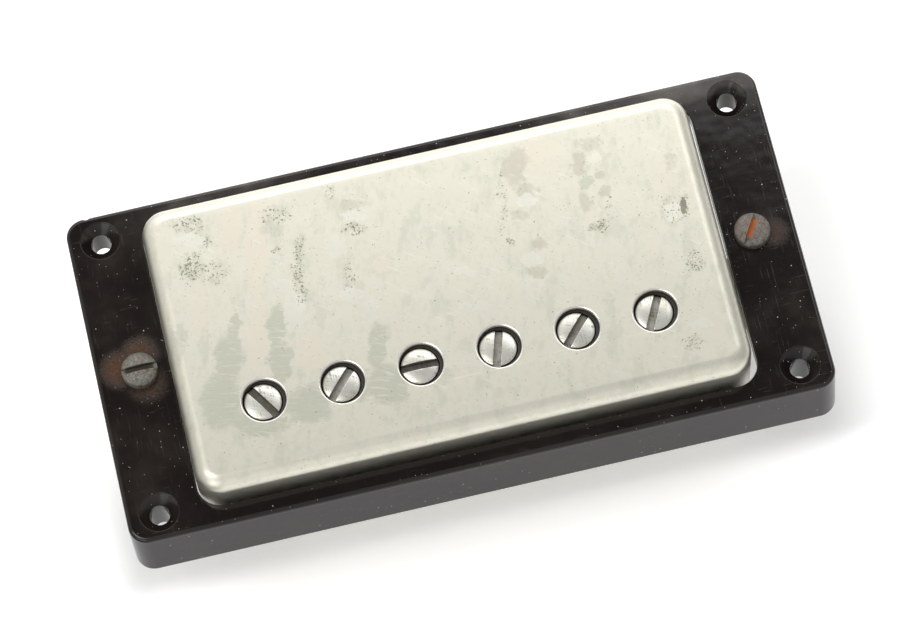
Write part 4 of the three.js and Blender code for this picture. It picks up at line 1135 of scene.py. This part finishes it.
class PICKUP_OT_ring(Operator):
    """Builds the mounting ring."""

    bl_idname = "pickup.ring"
    bl_label = "Mounting ring"

    def execute(self, context):
        sizes = settings().ring
        opening = (COVER_LENGTH + 2 * sizes.gap_x, COVER_WIDTH + 2 * sizes.gap_y)
        outer = (opening[0] + 2 * sizes.end_land, opening[1] + 2 * sizes.side_land)
        ring = self.blank(sizes, outer)
        cutters = [self.opening(sizes, opening)]
        for side, side_name in zip((-1, 1), HEIGHT_SIDES):
            screw_x, _ = centre_of(f"height_screw_{side_name}")
            fixing_x = side * (outer[0] / 2 - sizes.fixing_in_x)
            fixing_y = outer[1] / 2 - sizes.fixing_in_y
            cutters.append(self.pocket(sizes, side, opening, outer, screw_x, (fixing_x, fixing_y)))
            cutters.append(self.screw_hole(sizes, screw_x))
            for end in (-1, 1):
                cutters.append(self.fixing_hole(sizes, (fixing_x, end * fixing_y)))
        cutters.append(self.chip(sizes, outer))
        cut(ring, *cutters)
        soften(ring)
        dress(ring, "ring_plastic", "ring", "mounting_ring")
        return {"FINISHED"}

    @staticmethod
    def blank(sizes, outer):
        """The outer form: leaning long walls, upright ends, a round upper edge, a sloping underside."""
        levels = []

        def level(z, inset):
            """Adds the outline at a height, this far inside the walls."""
            long = outer[0] - 2 * (sizes.end_in + inset)
            wide = outer[1] - 2 * (sizes.draft * z / RING_TOP + inset)
            levels.append((rounded_outline(long, wide, max(sizes.corner - inset, sizes.edge)), z))

        level(RING_LOW.z - OVERRUN, 0)
        for across, up in arc(EDGE_STEPS):
            level(RING_TOP - sizes.edge * (1 - up), sizes.edge * (1 - across))
        ring = loft("ring", levels)
        bm = bmesh.new()
        bm.from_mesh(ring.data)
        slope = Vector((0, -math.sin(sizes.taper), math.cos(sizes.taper)))
        geometry = bm.verts[:] + bm.edges[:] + bm.faces[:]
        bmesh.ops.bisect_plane(bm, geom=geometry, plane_co=(0, 0, 0), plane_no=slope, clear_inner=True)
        rim = [edge for edge in bm.edges if edge.is_boundary]
        bmesh.ops.edgeloop_fill(bm, edges=rim)
        bmesh.ops.recalc_face_normals(bm, faces=bm.faces)
        bm.to_mesh(ring.data)
        bm.free()
        return ring

    @staticmethod
    def opening(sizes, opening):
        """The cutter for the opening, wider where its upper edge is rounded."""
        long = opening[0] - sizes.snug
        wide = opening[1]
        levels = [(rounded_outline(long, wide, sizes.opening_corner), RING_LOW.z - 2 * OVERRUN)]
        for across, up in arc(EDGE_STEPS):
            inset = sizes.opening_edge * (1 - across)
            points = rounded_outline(long + 2 * inset, wide + 2 * inset, sizes.opening_corner + inset)
            levels.append((points, RING_TOP - sizes.opening_edge * (1 - up)))
        levels.append((levels[-1][0], RING_TOP + OVERRUN))
        return loft("opening", levels, (sizes.snug / 2, 0))

    @staticmethod
    def pocket(sizes, side, opening, outer, screw_x, fixing):
        """The cutter for the hollow under one end, less the bosses that stand in it."""
        inner = opening[0] / 2 - sizes.opening_corner - OVERRUN
        reach = outer[0] / 2 - sizes.end_in - sizes.wall
        bottom = RING_LOW.z - OVERRUN
        outline = rounded_outline(reach - inner, opening[1], sizes.edge, EDGE_STEPS)
        centre = (side * (inner + reach) / 2, 0)
        hollow = loft("pocket", [(outline, bottom), (outline, RING_TOP - sizes.plate)], centre)
        boss = sizes.screw_boss / 2
        boss_bottom = RING_TOP - sizes.plate - sizes.screw_boss_drop
        bosses = [turned_solid("boss", [(boss, boss_bottom), (boss, RING_TOP)], (screw_x, 0))]
        post = sizes.fixing_hole / 2 + sizes.sink_rim + sizes.fixing_boss_wall
        for end in (-1, 1):
            profile = [(post, bottom - OVERRUN), (post, RING_TOP)]
            bosses.append(turned_solid("post", profile, (fixing[0], end * fixing[1])))
        return cut(hollow, *bosses)

    @staticmethod
    def screw_hole(sizes, screw_x):
        """The cutter for a height screw's plain hole."""
        radius = sizes.screw_hole / 2
        profile = [(radius, RING_LOW.z - OVERRUN), (radius, RING_TOP + OVERRUN)]
        return turned_solid("screw_hole", profile, (screw_x, 0))

    @staticmethod
    def fixing_hole(sizes, centre):
        """The cutter for a countersunk hole whose rims are eased."""
        hole = sizes.fixing_hole / 2
        sink = hole + sizes.sink_rim
        ease = sizes.sink_edge
        profile = [(hole, RING_LOW.z - 2 * OVERRUN), (hole, RING_TOP - sizes.sink_depth)]
        profile.append((sink - ease, RING_TOP - ease))
        for across, up in arc(EDGE_STEPS)[1:]:
            profile.append((sink - ease * across, RING_TOP - ease * (1 - up)))
        profile.append((sink + ease / 2, RING_TOP + ease / 2))
        profile.append((sink + ease / 2, RING_TOP + OVERRUN))
        return turned_solid("fixing_hole", profile, centre)

    @staticmethod
    def chip(sizes, outer):
        """A jagged cutter for the small chip in the far edge."""
        bm = bmesh.new()
        bmesh.ops.create_icosphere(bm, subdivisions=CHIP_FINENESS, radius=sizes.chip)
        for vert in bm.verts:
            vert.co *= 1 + CHIP_RAGGED_SHARE * noise.noise(vert.co / MM)
            vert.co.z *= CHIP_TALL_SHARE
        back = outer[1] / 2 - sizes.draft + CHIP_OUT_SHARE * sizes.chip
        place = Vector((CHIP_PLACE_SHARE * outer[0], back, RING_TOP - sizes.edge))
        bmesh.ops.translate(bm, verts=bm.verts, vec=place)
        return show("chip", bm)


class PICKUP_OT_cover(Operator):
    """Builds the drawn cover with its six holes."""

    bl_idname = "pickup.cover"
    bl_label = "Cover"

    def execute(self, context):
        sizes = settings().cover
        bm = bmesh.new()
        centre = (COVER_CENTRE.x, COVER_CENTRE.y)
        outside = self.shell(bm, sizes, 0, centre)
        inside = self.shell(bm, sizes, sizes.wall, centre)
        for low, high in zip(outside, outside[1:]):
            bridge(bm, low, high)
        for low, high in zip(inside, inside[1:]):
            bridge(bm, high, low)
        bridge(bm, inside[0], outside[0])
        first_x, line_y, pitch = hole_row()
        places = [(first_x + index * pitch, line_y) for index in range(len(POLE_NAMES))]
        upper_rims, lower_rims = zip(*(self.hole(bm, sizes, place) for place in places))
        self.fill(bm, [outside[-1], *upper_rims], Vector((0, 0, 1)))
        self.fill(bm, [inside[-1], *lower_rims], Vector((0, 0, -1)))
        bmesh.ops.recalc_face_normals(bm, faces=bm.faces)
        cover = show("cover_shell", bm)
        soften(cover)
        dress(cover, "cover_nickel", "pickup", "cover")
        return {"FINISHED"}

    @staticmethod
    def shell(bm, sizes, inset, centre):
        """Rings of points from the open rim to the edge of the flat top."""
        long = COVER_LENGTH - 2 * inset
        wide = COVER_WIDTH - 2 * inset
        top = COVER_HIGH.z - inset
        bend = sizes.round - inset
        corner = sizes.corner - inset
        rings = [ring_of(bm, rounded_outline(long, wide, corner), COVER_LOW.z, centre)]
        for across, up in arc(ROUND_STEPS):
            back = bend * (1 - across)
            points = rounded_outline(long - 2 * back, wide - 2 * back, max(corner - back, bend / 2))
            rings.append(ring_of(bm, points, top - bend * (1 - up), centre))
        return rings

    @staticmethod
    def hole(bm, sizes, place):
        """The wall of one hole. Gives its upper and lower rims."""
        radius = sizes.hole / 2
        rings = [ring_of(bm, circle(radius, HOLE_SIDES), COVER_HIGH.z - sizes.wall, place)]
        for across, up in arc(EDGE_STEPS):
            ring = circle(radius + sizes.lip * (1 - across), HOLE_SIDES)
            rings.append(ring_of(bm, ring, COVER_HIGH.z - sizes.lip * (1 - up), place))
        for low, high in zip(rings, rings[1:]):
            bridge(bm, high, low)
        return rings[-1], rings[0]

    @staticmethod
    def fill(bm, loops, normal):
        """Fills a level face between an outline and its holes."""
        edges = []
        for loop in loops:
            for first, second in zip(loop, loop[1:] + loop[:1]):
                edge = bm.edges.get((first, second))
                edges.append(edge if edge else bm.edges.new((first, second)))
        bmesh.ops.triangle_fill(bm, use_beauty=True, edges=edges, normal=normal)


def screw_head(sizes, name, centre, top, slot_degrees):
    """The head of a slotted screw, from its top down to its seat."""
    radius = sizes.head / 2
    seat = top - sizes.head_height
    shoulder = top - sizes.dome
    profile = [(sizes.thread / 2, seat), (radius, seat), (radius, shoulder)]
    for across, up in arc(ROUND_STEPS)[1:-1]:
        profile.append((radius * across, shoulder + sizes.dome * up))
    head = turned_solid(name, profile, centre, HEAD_SIDES)
    half = sizes.slot / 2
    reach = radius + OVERRUN
    outline = [(reach, half), (-reach, half), (-reach, -half), (reach, -half)]
    slot = loft("slot", [(outline, top - sizes.slot_depth), (outline, top + OVERRUN)])
    turn = Matrix.Rotation(math.radians(slot_degrees), 4, "Z")
    slot.data.transform(Matrix.Translation((*centre, 0)) @ turn)
    cut(head, slot)
    return soften(head, sizes.edge)


def new_group(name, inputs):
    """An empty Geometry Nodes group with named inputs, listed by their kind."""
    tree = bpy.data.node_groups.new(name, "GeometryNodeTree")
    tree.interface.new_socket("Geometry", in_out="OUTPUT", socket_type="NodeSocketGeometry")
    tree.interface.new_socket("Geometry", in_out="INPUT", socket_type="NodeSocketGeometry")
    for kind, labels in inputs.items():
        for label in labels:
            tree.interface.new_socket(label, in_out="INPUT", socket_type=f"NodeSocket{kind}")
    board = Board(tree)
    entry = board.add("NodeGroupInput", out="Geometry")
    return tree, board, entry


def place_round(board, entry, radius, turn, height):
    """The place at this reach and turn round a group's centre, and at this height."""
    inputs = {
        "X": entry.other("Centre X") + radius * board.maths("COSINE", turn),
        "Y": entry.other("Centre Y") + radius * board.maths("SINE", turn),
        "Z": height,
    }
    return board.add("ShaderNodeCombineXYZ", {}, inputs)


def close_group(board, entry, parts):
    """Ends a group: joins its parts, makes them real and gives them their material."""
    joined = board.add("GeometryNodeJoinGeometry", {}, {"Geometry": parts})
    real = board.add("GeometryNodeRealizeInstances", {}, {"Geometry": joined})
    inputs = {"Geometry": real, "Material": entry.other("Material")}
    done = board.add("GeometryNodeSetMaterial", {}, inputs)
    board.add("NodeGroupOutput", {}, {"Geometry": done})


def run_group(piece, tree, values):
    """Runs a group on a piece with these inputs, and keeps what it makes as plain mesh."""
    modifier = piece.modifiers.new(tree.name, "NODES")
    modifier.node_group = tree
    for item in tree.interface.items_tree:
        if item.item_type == "SOCKET" and item.in_out == "INPUT" and item.name in values:
            modifier[item.identifier] = values[item.name]
    return settle(piece)


# The thread's root and crest as shares of half a turn, where it runs in and out along the shank, and
# how close to the shank's ends its mesh closes
THREAD_CREST_SHARES = (0.12, 0.88)
THREAD_START_SHARES = (0.01, 0.05)
THREAD_END_SHARES = (0.995, 0.95)
SHANK_SHUT_SHARE = 0.0005
# Whole turns that keep the thread's phase above nothing
PHASE_TURNS = 8.0
# How far below the slot's floor the shank starts, as a share of the rounding of the slot's edges
SHANK_DROP_SHARE = 2


def thread_group():
    """A threaded shank, wrapped from a grid and joined to the head that it hangs from."""
    found = bpy.data.node_groups.get("threaded_shank")
    if found:
        return found
    inputs = {
        "Float": ["Centre X", "Centre Y", "Top", "Length", "Thread", "Depth", "Pitch"],
        "Int": ["Rows", "Sides"],
        "Material": ["Material"],
    }
    tree, board, entry = new_group("threaded_shank", inputs)
    counts = {"Vertices X": entry.other("Sides"), "Vertices Y": entry.other("Rows")}
    sheet = board.add("GeometryNodeMeshGrid", {}, {"Size X": 1.0, "Size Y": 1.0, **counts}, "Mesh")
    x, y, _ = board.parts_of(board.add("GeometryNodeInputPosition"))
    round_share = x + 0.5
    down_share = 0.5 - y
    down = down_share * entry.other("Length")
    phase = board.maths("FRACT", down / entry.other("Pitch") + round_share + PHASE_TURNS)
    ridge = 1 - board.maths("ABSOLUTE", phase * 2 - 1)
    crest = board.rise(ridge, *THREAD_CREST_SHARES)
    fade = board.rise(down_share, *THREAD_END_SHARES) * board.rise(down_share, *THREAD_START_SHARES)
    radius = entry.other("Thread") / 2 - entry.other("Depth") * (1 - crest * fade)
    radius = radius * ((down_share < 1 - SHANK_SHUT_SHARE) * (down_share > SHANK_SHUT_SHARE))
    place = place_round(board, entry, radius, round_share * FULL_TURN, entry.other("Top") - down)
    wrapped = board.add("GeometryNodeSetPosition", {}, {"Geometry": sheet, "Position": place})
    merging = {"Geometry": wrapped, "Distance": LOOSELY_DOUBLED}
    closed = board.add("GeometryNodeMergeByDistance", {}, merging)
    smooth = board.add("GeometryNodeSetShadeSmooth", {}, {"Geometry": closed})
    close_group(board, entry, [entry, smooth])
    return tree


def make_screw(node, sizes, finish, body, slot_degrees, hanging=False):
    """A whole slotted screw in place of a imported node. A hanging one has its head at the bottom."""
    low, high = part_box(node)
    centre = centre_of(node)
    screw = screw_head(sizes, node + "_look", centre, high.z, slot_degrees)
    top = high.z - sizes.slot_depth - SHANK_DROP_SHARE * sizes.edge
    shank = top - low.z
    values = {
        "Centre X": centre[0],
        "Centre Y": centre[1],
        "Top": top,
        "Length": shank,
        "Thread": sizes.thread,
        "Depth": sizes.thread_depth,
        "Pitch": sizes.pitch,
        "Rows": int(ROWS_PER_THREAD * shank / sizes.pitch),
        "Sides": THREAD_SIDES + 1,
        "Material": material(finish),
    }
    run_group(screw, thread_group(), values)
    if hanging:
        middle = Vector((0, centre[1], (low.z + high.z) / 2))
        over = Matrix.Translation(middle) @ Matrix.Rotation(math.pi, 4, "X")
        screw.data.transform(over @ Matrix.Translation(-middle))
    return dress(screw, finish, body, node)


class PICKUP_OT_pole_screws(Operator):
    """Builds the six adjustable pole screws."""

    bl_idname = "pickup.pole_screws"
    bl_label = "Pole screws"

    def execute(self, context):
        sizes = settings().pole_screw
        for name, slot_degrees in zip(POLE_NAMES, POLE_SLOTS):
            make_screw(name, sizes, "pole_nickel", name, slot_degrees)
        return {"FINISHED"}


class PICKUP_OT_height_screws(Operator):
    """Builds the two height screws."""

    bl_idname = "pickup.height_screws"
    bl_label = "Height screws"

    def execute(self, context):
        sizes = settings().height_screw
        for side, slot_degrees in zip(HEIGHT_SIDES, HEIGHT_SLOTS):
            name = f"height_screw_{side}"
            make_screw(name, sizes, "aged_screw", name, slot_degrees)
        return {"FINISHED"}


def spring_group():
    """A spring with closed ends, swept along a line that is wound into curls."""
    inputs = {
        "Float": ["Centre X", "Centre Y", "Bottom", "Length", "Wire", "Diameter", "Curls"],
        "Int": ["Points"],
        "Material": ["Material"],
    }
    tree, board, entry = new_group("wound_spring", inputs)
    line = board.add("GeometryNodeCurvePrimitiveLine", {}, {}, "Curve")
    fine = board.add("GeometryNodeResampleCurve", {}, {"Curve": line, "Count": entry.other("Points")})
    share = board.add("GeometryNodeSplineParameter", out="Factor")
    wire = entry.other("Wire")
    curls = entry.other("Curls")
    wound = share * curls
    first = board.clamp(wound)
    last = board.clamp(wound - curls + 1)
    middle = board.clamp((wound - 1) / (curls - 2))
    open_rise = entry.other("Length") - wire * 3
    height = wire / 2 + wire * (first + last) + open_rise * middle
    radius = entry.other("Diameter") / 2
    place = place_round(board, entry, radius, wound * FULL_TURN, entry.other("Bottom") + height)
    coiled = board.add("GeometryNodeSetPosition", {}, {"Geometry": fine, "Position": place})
    circled = {"Resolution": WIRE_SIDES, "Radius": wire / 2}
    section = board.add("GeometryNodeCurvePrimitiveCircle", {}, circled, "Curve")
    swept = {"Curve": coiled, "Profile Curve": section, "Fill Caps": True}
    tube = board.add("GeometryNodeCurveToMesh", {}, swept)
    smooth = board.add("GeometryNodeSetShadeSmooth", {}, {"Geometry": tube})
    close_group(board, entry, [smooth])
    return tree


class PICKUP_OT_springs(Operator):
    """Builds the springs that push the pickup away from the ring."""

    bl_idname = "pickup.springs"
    bl_label = "Springs"

    def execute(self, context):
        sizes = settings().spring
        tree = spring_group()
        for side in HEIGHT_SIDES:
            node = f"height_spring_{side}"
            low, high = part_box(node)
            axis_x, axis_y = centre_of(f"height_screw_{side}")
            values = {
                "Centre X": axis_x,
                "Centre Y": axis_y,
                "Bottom": low.z,
                "Length": high.z - low.z,
                "Wire": sizes.wire,
                "Diameter": sizes.diameter,
                "Curls": float(sizes.curls),
                "Points": STEPS_PER_CURL * sizes.curls,
                "Material": material("spring_steel"),
            }
            spring = show(node + "_look", bmesh.new())
            run_group(spring, tree, values)
            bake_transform(spring)
            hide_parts(node)
        return {"FINISHED"}


def copy_of(node, name):
    """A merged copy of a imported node's mesh."""
    bm = bmesh.new()
    bm.from_mesh(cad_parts[node].data)
    bmesh.ops.remove_doubles(bm, verts=bm.verts, dist=LOOSELY_DOUBLED)
    bmesh.ops.dissolve_limit(bm, angle_limit=FLAT_ANGLE, verts=bm.verts, edges=bm.edges)
    return show(name, bm)


PLATE_EDGE = 0.09 * MM
# How much of the solder's mounds is uneven, and how many lumps lie across one
SOLDER_RAGGED_SHARE = 0.18
SOLDER_LUMPS = 2


class PICKUP_OT_base_plate(Operator):
    """Builds the base plate, its screws and the solder along its edges."""

    bl_idname = "pickup.base_plate"
    bl_label = "Base plate"

    def execute(self, context):
        plate = copy_of("baseplate", "baseplate_look")
        soften(plate, PLATE_EDGE)
        dress(plate, "plate_nickel_silver", "pickup", "baseplate")
        for side in ("front", "rear"):
            self.solder(f"solder_{side}")
        sizes = settings().bobbin_screw
        for order, slot_degrees in enumerate(BOBBIN_SLOTS, 1):
            make_screw(f"bobbin_screw_{order}", sizes, "brass", "pickup", slot_degrees, hanging=True)
        return {"FINISHED"}

    @staticmethod
    def solder(node):
        """An uneven mound of solder that hangs under the seam."""
        low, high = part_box(node)
        centre = (low + high) / 2
        half = (high - low) / 2
        bm = bmesh.new()
        bmesh.ops.create_icosphere(bm, subdivisions=SOLDER_FINENESS, radius=1)
        aside = Vector((half.x, 0, 0)) / MM
        for vert in bm.verts:
            lump = noise.noise(vert.co * SOLDER_LUMPS + aside)
            x, y, z = vert.co * (1 - SOLDER_RAGGED_SHARE * (0.5 + 0.5 * lump))
            hang = min(z, 0) * half.z * 2
            vert.co = Vector((centre.x + x * half.x, centre.y + y * half.y, high.z + hang))
        mound = show(node + "_look", bm)
        soften(mound)
        dress(mound, "solder", "pickup", node)


class PICKUP_OT_coils(Operator):
    """Gives the bobbins, coils, magnet and slugs inside the cover their finishes."""

    bl_idname = "pickup.coils"
    bl_label = "Coils and magnet"

    def execute(self, context):
        for name, finish in KEPT_NODES.items():
            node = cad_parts[name]
            for slot in node.material_slots:
                slot.material = material(finish)
        return {"FINISHED"}


# The lamps: place and size
LAMPS = {
    "high_lamp": ((-0.5, -0.05, 0.95), (0.5, 0.6)),
    "rear_lamp": ((0.24, 0.6, 0.86), (1.0, 0.44)),
    "front_lamp": ((-0.5, -0.55, 0.42), (0.5, 0.5)),
}
# The sky changes between these parts of a direction of length one: from the left to the right, from the
# horizon to overhead, and from the front to the rear
SKY_SIDES = (-0.5, 0.7)
SKY_HEIGHTS = (0.05, 0.8)
SKY_REAR = (0.45, 0.85)
# Where the sky has its dim gap, and how far the gap reaches
GAP_WAY = (0.056, 0.371, 0.927)
GAP_INNER = math.radians(7)
GAP_OUTER = math.radians(16)
FLOOR_WHITE = (0.86, 0.86, 0.86)
# To the eye and in reflections the floor is this much brighter, so that only its shadow stays grey
FLOOR_LIFT = 1.42
# In reflections the floor fades to a dim tone on the left: from where to where, in millimetres
FLOOR_DIM_REACH = (-50, -90)
FLOOR_DIM = (0.3, 0.3, 0.3)
# To the eye the shadow's ends are darker than the lamps leave them, between an outer and an inner
# border each, and its front border is paler, in millimetres
FLOOR_ENDS = (((-50, -44.5), (-20, -42)), ((53, 44.5), (27, 43)))
FLOOR_ENDS_FRONT = (-24, -15)
FLOOR_ENDS_REAR = (8, -12)
FLOOR_ENDS_SHADE = 0.3
FLOOR_BORDER_REACH = (-17, -21)
FLOOR_BORDER_LIFT = 0.2
SENSOR = 36.0
CLIP_NEAR = 0.01
CLIP_FAR = 30.0


class PICKUP_OT_stage(Operator):
    """Builds the floor, the light and the camera."""

    bl_idname = "pickup.stage"
    bl_label = "Stage"

    def execute(self, context):
        stage = settings().stage
        self.floor(stage)
        self.sky(stage)
        for name, (place, size) in LAMPS.items():
            self.lamp(name, place, size, getattr(stage, name))
        self.camera(stage)
        context.scene.view_settings.view_transform = "Standard"
        return {"FINISHED"}

    @staticmethod
    def floor(stage):
        """A pale floor under the lowest point, white to the eye where it is lit, clear from below."""
        half = stage.floor / 2
        bm = bmesh.new()
        corners = [(half, half), (-half, half), (-half, -half), (half, -half)]
        bm.faces.new(ring_of(bm, corners, CAD_BOX[0].z))
        floor = show("floor", bm)
        look = bpy.data.materials.new("floor_look")
        look.use_nodes = True
        board = Board(look.node_tree)
        path = board.add("ShaderNodeLightPath", out="Is Camera Ray")
        seen = board.clamp(path + path.other("Is Glossy Ray") + path.other("Is Transmission Ray"))
        lifted = tuple(part * FLOOR_LIFT for part in FLOOR_WHITE)
        x, y, _ = board.parts_of(board.millimetres())
        beside = board.rise(x, *FLOOR_DIM_REACH) * path.other("Is Glossy Ray")
        shade = board.mix(beside, board.mix(seen, FLOOR_WHITE, lifted), FLOOR_DIM)
        ends = [board.rise(x, *outer) * board.rise(x, *inner) for outer, inner in FLOOR_ENDS]
        shaded = (ends[0] + ends[1]) * board.rise(y, *FLOOR_ENDS_FRONT) * board.rise(y, *FLOOR_ENDS_REAR)
        tone = board.rise(y, *FLOOR_BORDER_REACH) * FLOOR_BORDER_LIFT - shaded * FLOOR_ENDS_SHADE
        matt = board.add("ShaderNodeBsdfDiffuse", {}, {"Color": board.scaled(shade, 1 + path * tone)})
        below = board.add("ShaderNodeNewGeometry", out="Backfacing")
        clear = board.add("ShaderNodeBsdfTransparent")
        surface = board.add("ShaderNodeMixShader", {}, {"Fac": below, 1: matt, 2: clear})
        board.add("ShaderNodeOutputMaterial", {}, {"Surface": surface})
        floor.data.materials.append(look)

    @staticmethod
    def sky(stage):
        """A soft sky, brighter towards the horizon and plain white to the eye."""
        world = bpy.data.worlds.new("sky")
        world.use_nodes = True
        board = Board(world.node_tree)
        way = board.add("ShaderNodeTexCoord", out="Generated")
        aside, back, up = board.parts_of(way)
        left = (stage.horizon,) * 3
        right = (stage.horizon_right,) * 3
        edge = board.mix(board.rise(aside, *SKY_SIDES), left, right)
        shade = board.mix(board.rise(up, *SKY_HEIGHTS), edge, (stage.overhead,) * 3)
        shade = board.mix(board.rise(back, *SKY_REAR), shade, (stage.rear_sky,) * 3)
        near_gap = board.vector("DOT_PRODUCT", way, GAP_WAY, out="Value")
        gap = board.rise(near_gap, math.cos(GAP_OUTER), math.cos(GAP_INNER))
        shade = board.mix(gap, shade, (stage.gap,) * 3)
        seen = board.add("ShaderNodeLightPath", out="Is Camera Ray")
        shade = board.mix(seen, shade, (1, 1, 1))
        glow = board.add("ShaderNodeBackground", {}, {"Color": shade})
        board.add("ShaderNodeOutputWorld", {}, {"Surface": glow})
        bpy.context.scene.world = world

    @staticmethod
    def lamp(name, place, size, power):
        """A soft area lamp that points at the middle of the ring."""
        light = bpy.data.lights.new(name, "AREA")
        light.shape = "RECTANGLE"
        light.size, light.size_y = size
        light.energy = power
        lamp = bpy.data.objects.new(name, light)
        lamp.location = place
        away = Vector((0, 0, 0)) - Vector(place)
        lamp.rotation_euler = away.to_track_quat("-Z", "Y").to_euler()
        bpy.context.scene.collection.objects.link(lamp)

    @staticmethod
    def camera(stage):
        """The camera at the photograph's viewing angle."""
        high, turn, roll = stage.elevation, stage.azimuth, stage.roll
        back = Vector((math.sin(turn) * math.cos(high), -math.cos(turn) * math.cos(high), math.sin(high)))
        level = Vector((math.cos(turn), math.sin(turn), 0))
        upright = back.cross(level)
        right = math.cos(roll) * level + math.sin(roll) * upright
        up = -math.sin(roll) * level + math.cos(roll) * upright
        place = stage.distance * back - stage.aside * right - stage.above * up + Vector((0, 0, RING_TOP))
        data = bpy.data.cameras.new("camera")
        data.sensor_width = SENSOR
        data.lens = stage.lens
        data.clip_start = CLIP_NEAR
        data.clip_end = CLIP_FAR
        camera = bpy.data.objects.new("camera", data)
        turned = Matrix((right, up, back)).transposed().to_4x4()
        camera.matrix_world = Matrix.Translation(place) @ turned
        bpy.context.scene.collection.objects.link(camera)
        bpy.context.scene.camera = camera


class PICKUP_PT_look(Panel):
    """Lists the pieces and their sizes."""

    bl_label = "Pickup"
    bl_idname = "PICKUP_PT_look"
    bl_space_type = "VIEW_3D"
    bl_region_type = "UI"
    bl_category = "Pickup"

    def draw(self, context):
        look = context.scene.pickup_look
        for maker, group in MAKERS.items():
            box = self.layout.box()
            box.operator(maker.bl_idname)
            sizes = getattr(look, group)
            for name in sizes.bl_rna.properties.keys():
                if name not in ("rna_type", "name"):
                    box.prop(sizes, name)


# The operators in the order in which they run, each with the settings that the panel shows under it
MAKERS = {
    PICKUP_OT_ring: "ring",
    PICKUP_OT_cover: "cover",
    PICKUP_OT_pole_screws: "pole_screw",
    PICKUP_OT_height_screws: "height_screw",
    PICKUP_OT_springs: "spring",
    PICKUP_OT_base_plate: "bobbin_screw",
    PICKUP_OT_coils: "finish",
    PICKUP_OT_stage: "stage",
}
GROUPS = (
    RingSizes,
    CoverSizes,
    ScrewSizes,
    SpringSizes,
    Finishes,
    StageSettings,
    PickupSettings,
)


def register():
    """Registers the classes and hangs the settings on the scene."""
    for kind in (*GROUPS, *MAKERS, PICKUP_PT_look):
        bpy.utils.register_class(kind)
    bpy.types.Scene.pickup_look = PointerProperty(type=PickupSettings)


def unregister():
    """Takes away what register added."""
    del bpy.types.Scene.pickup_look
    for kind in reversed((*GROUPS, *MAKERS, PICKUP_PT_look)):
        bpy.utils.unregister_class(kind)


def main():
    """Registers the classes, sets the sizes of the other screws and builds every piece."""
    register()
    for kind, sizes in SCREW_KINDS.items():
        for name, millimetres in sizes.items():
            setattr(getattr(settings(), kind), name, millimetres * MM)
    for maker in MAKERS:
        group, action = maker.bl_idname.split(".")
        getattr(getattr(bpy.ops, group), action)()


if __name__ == "__main__":
    main()
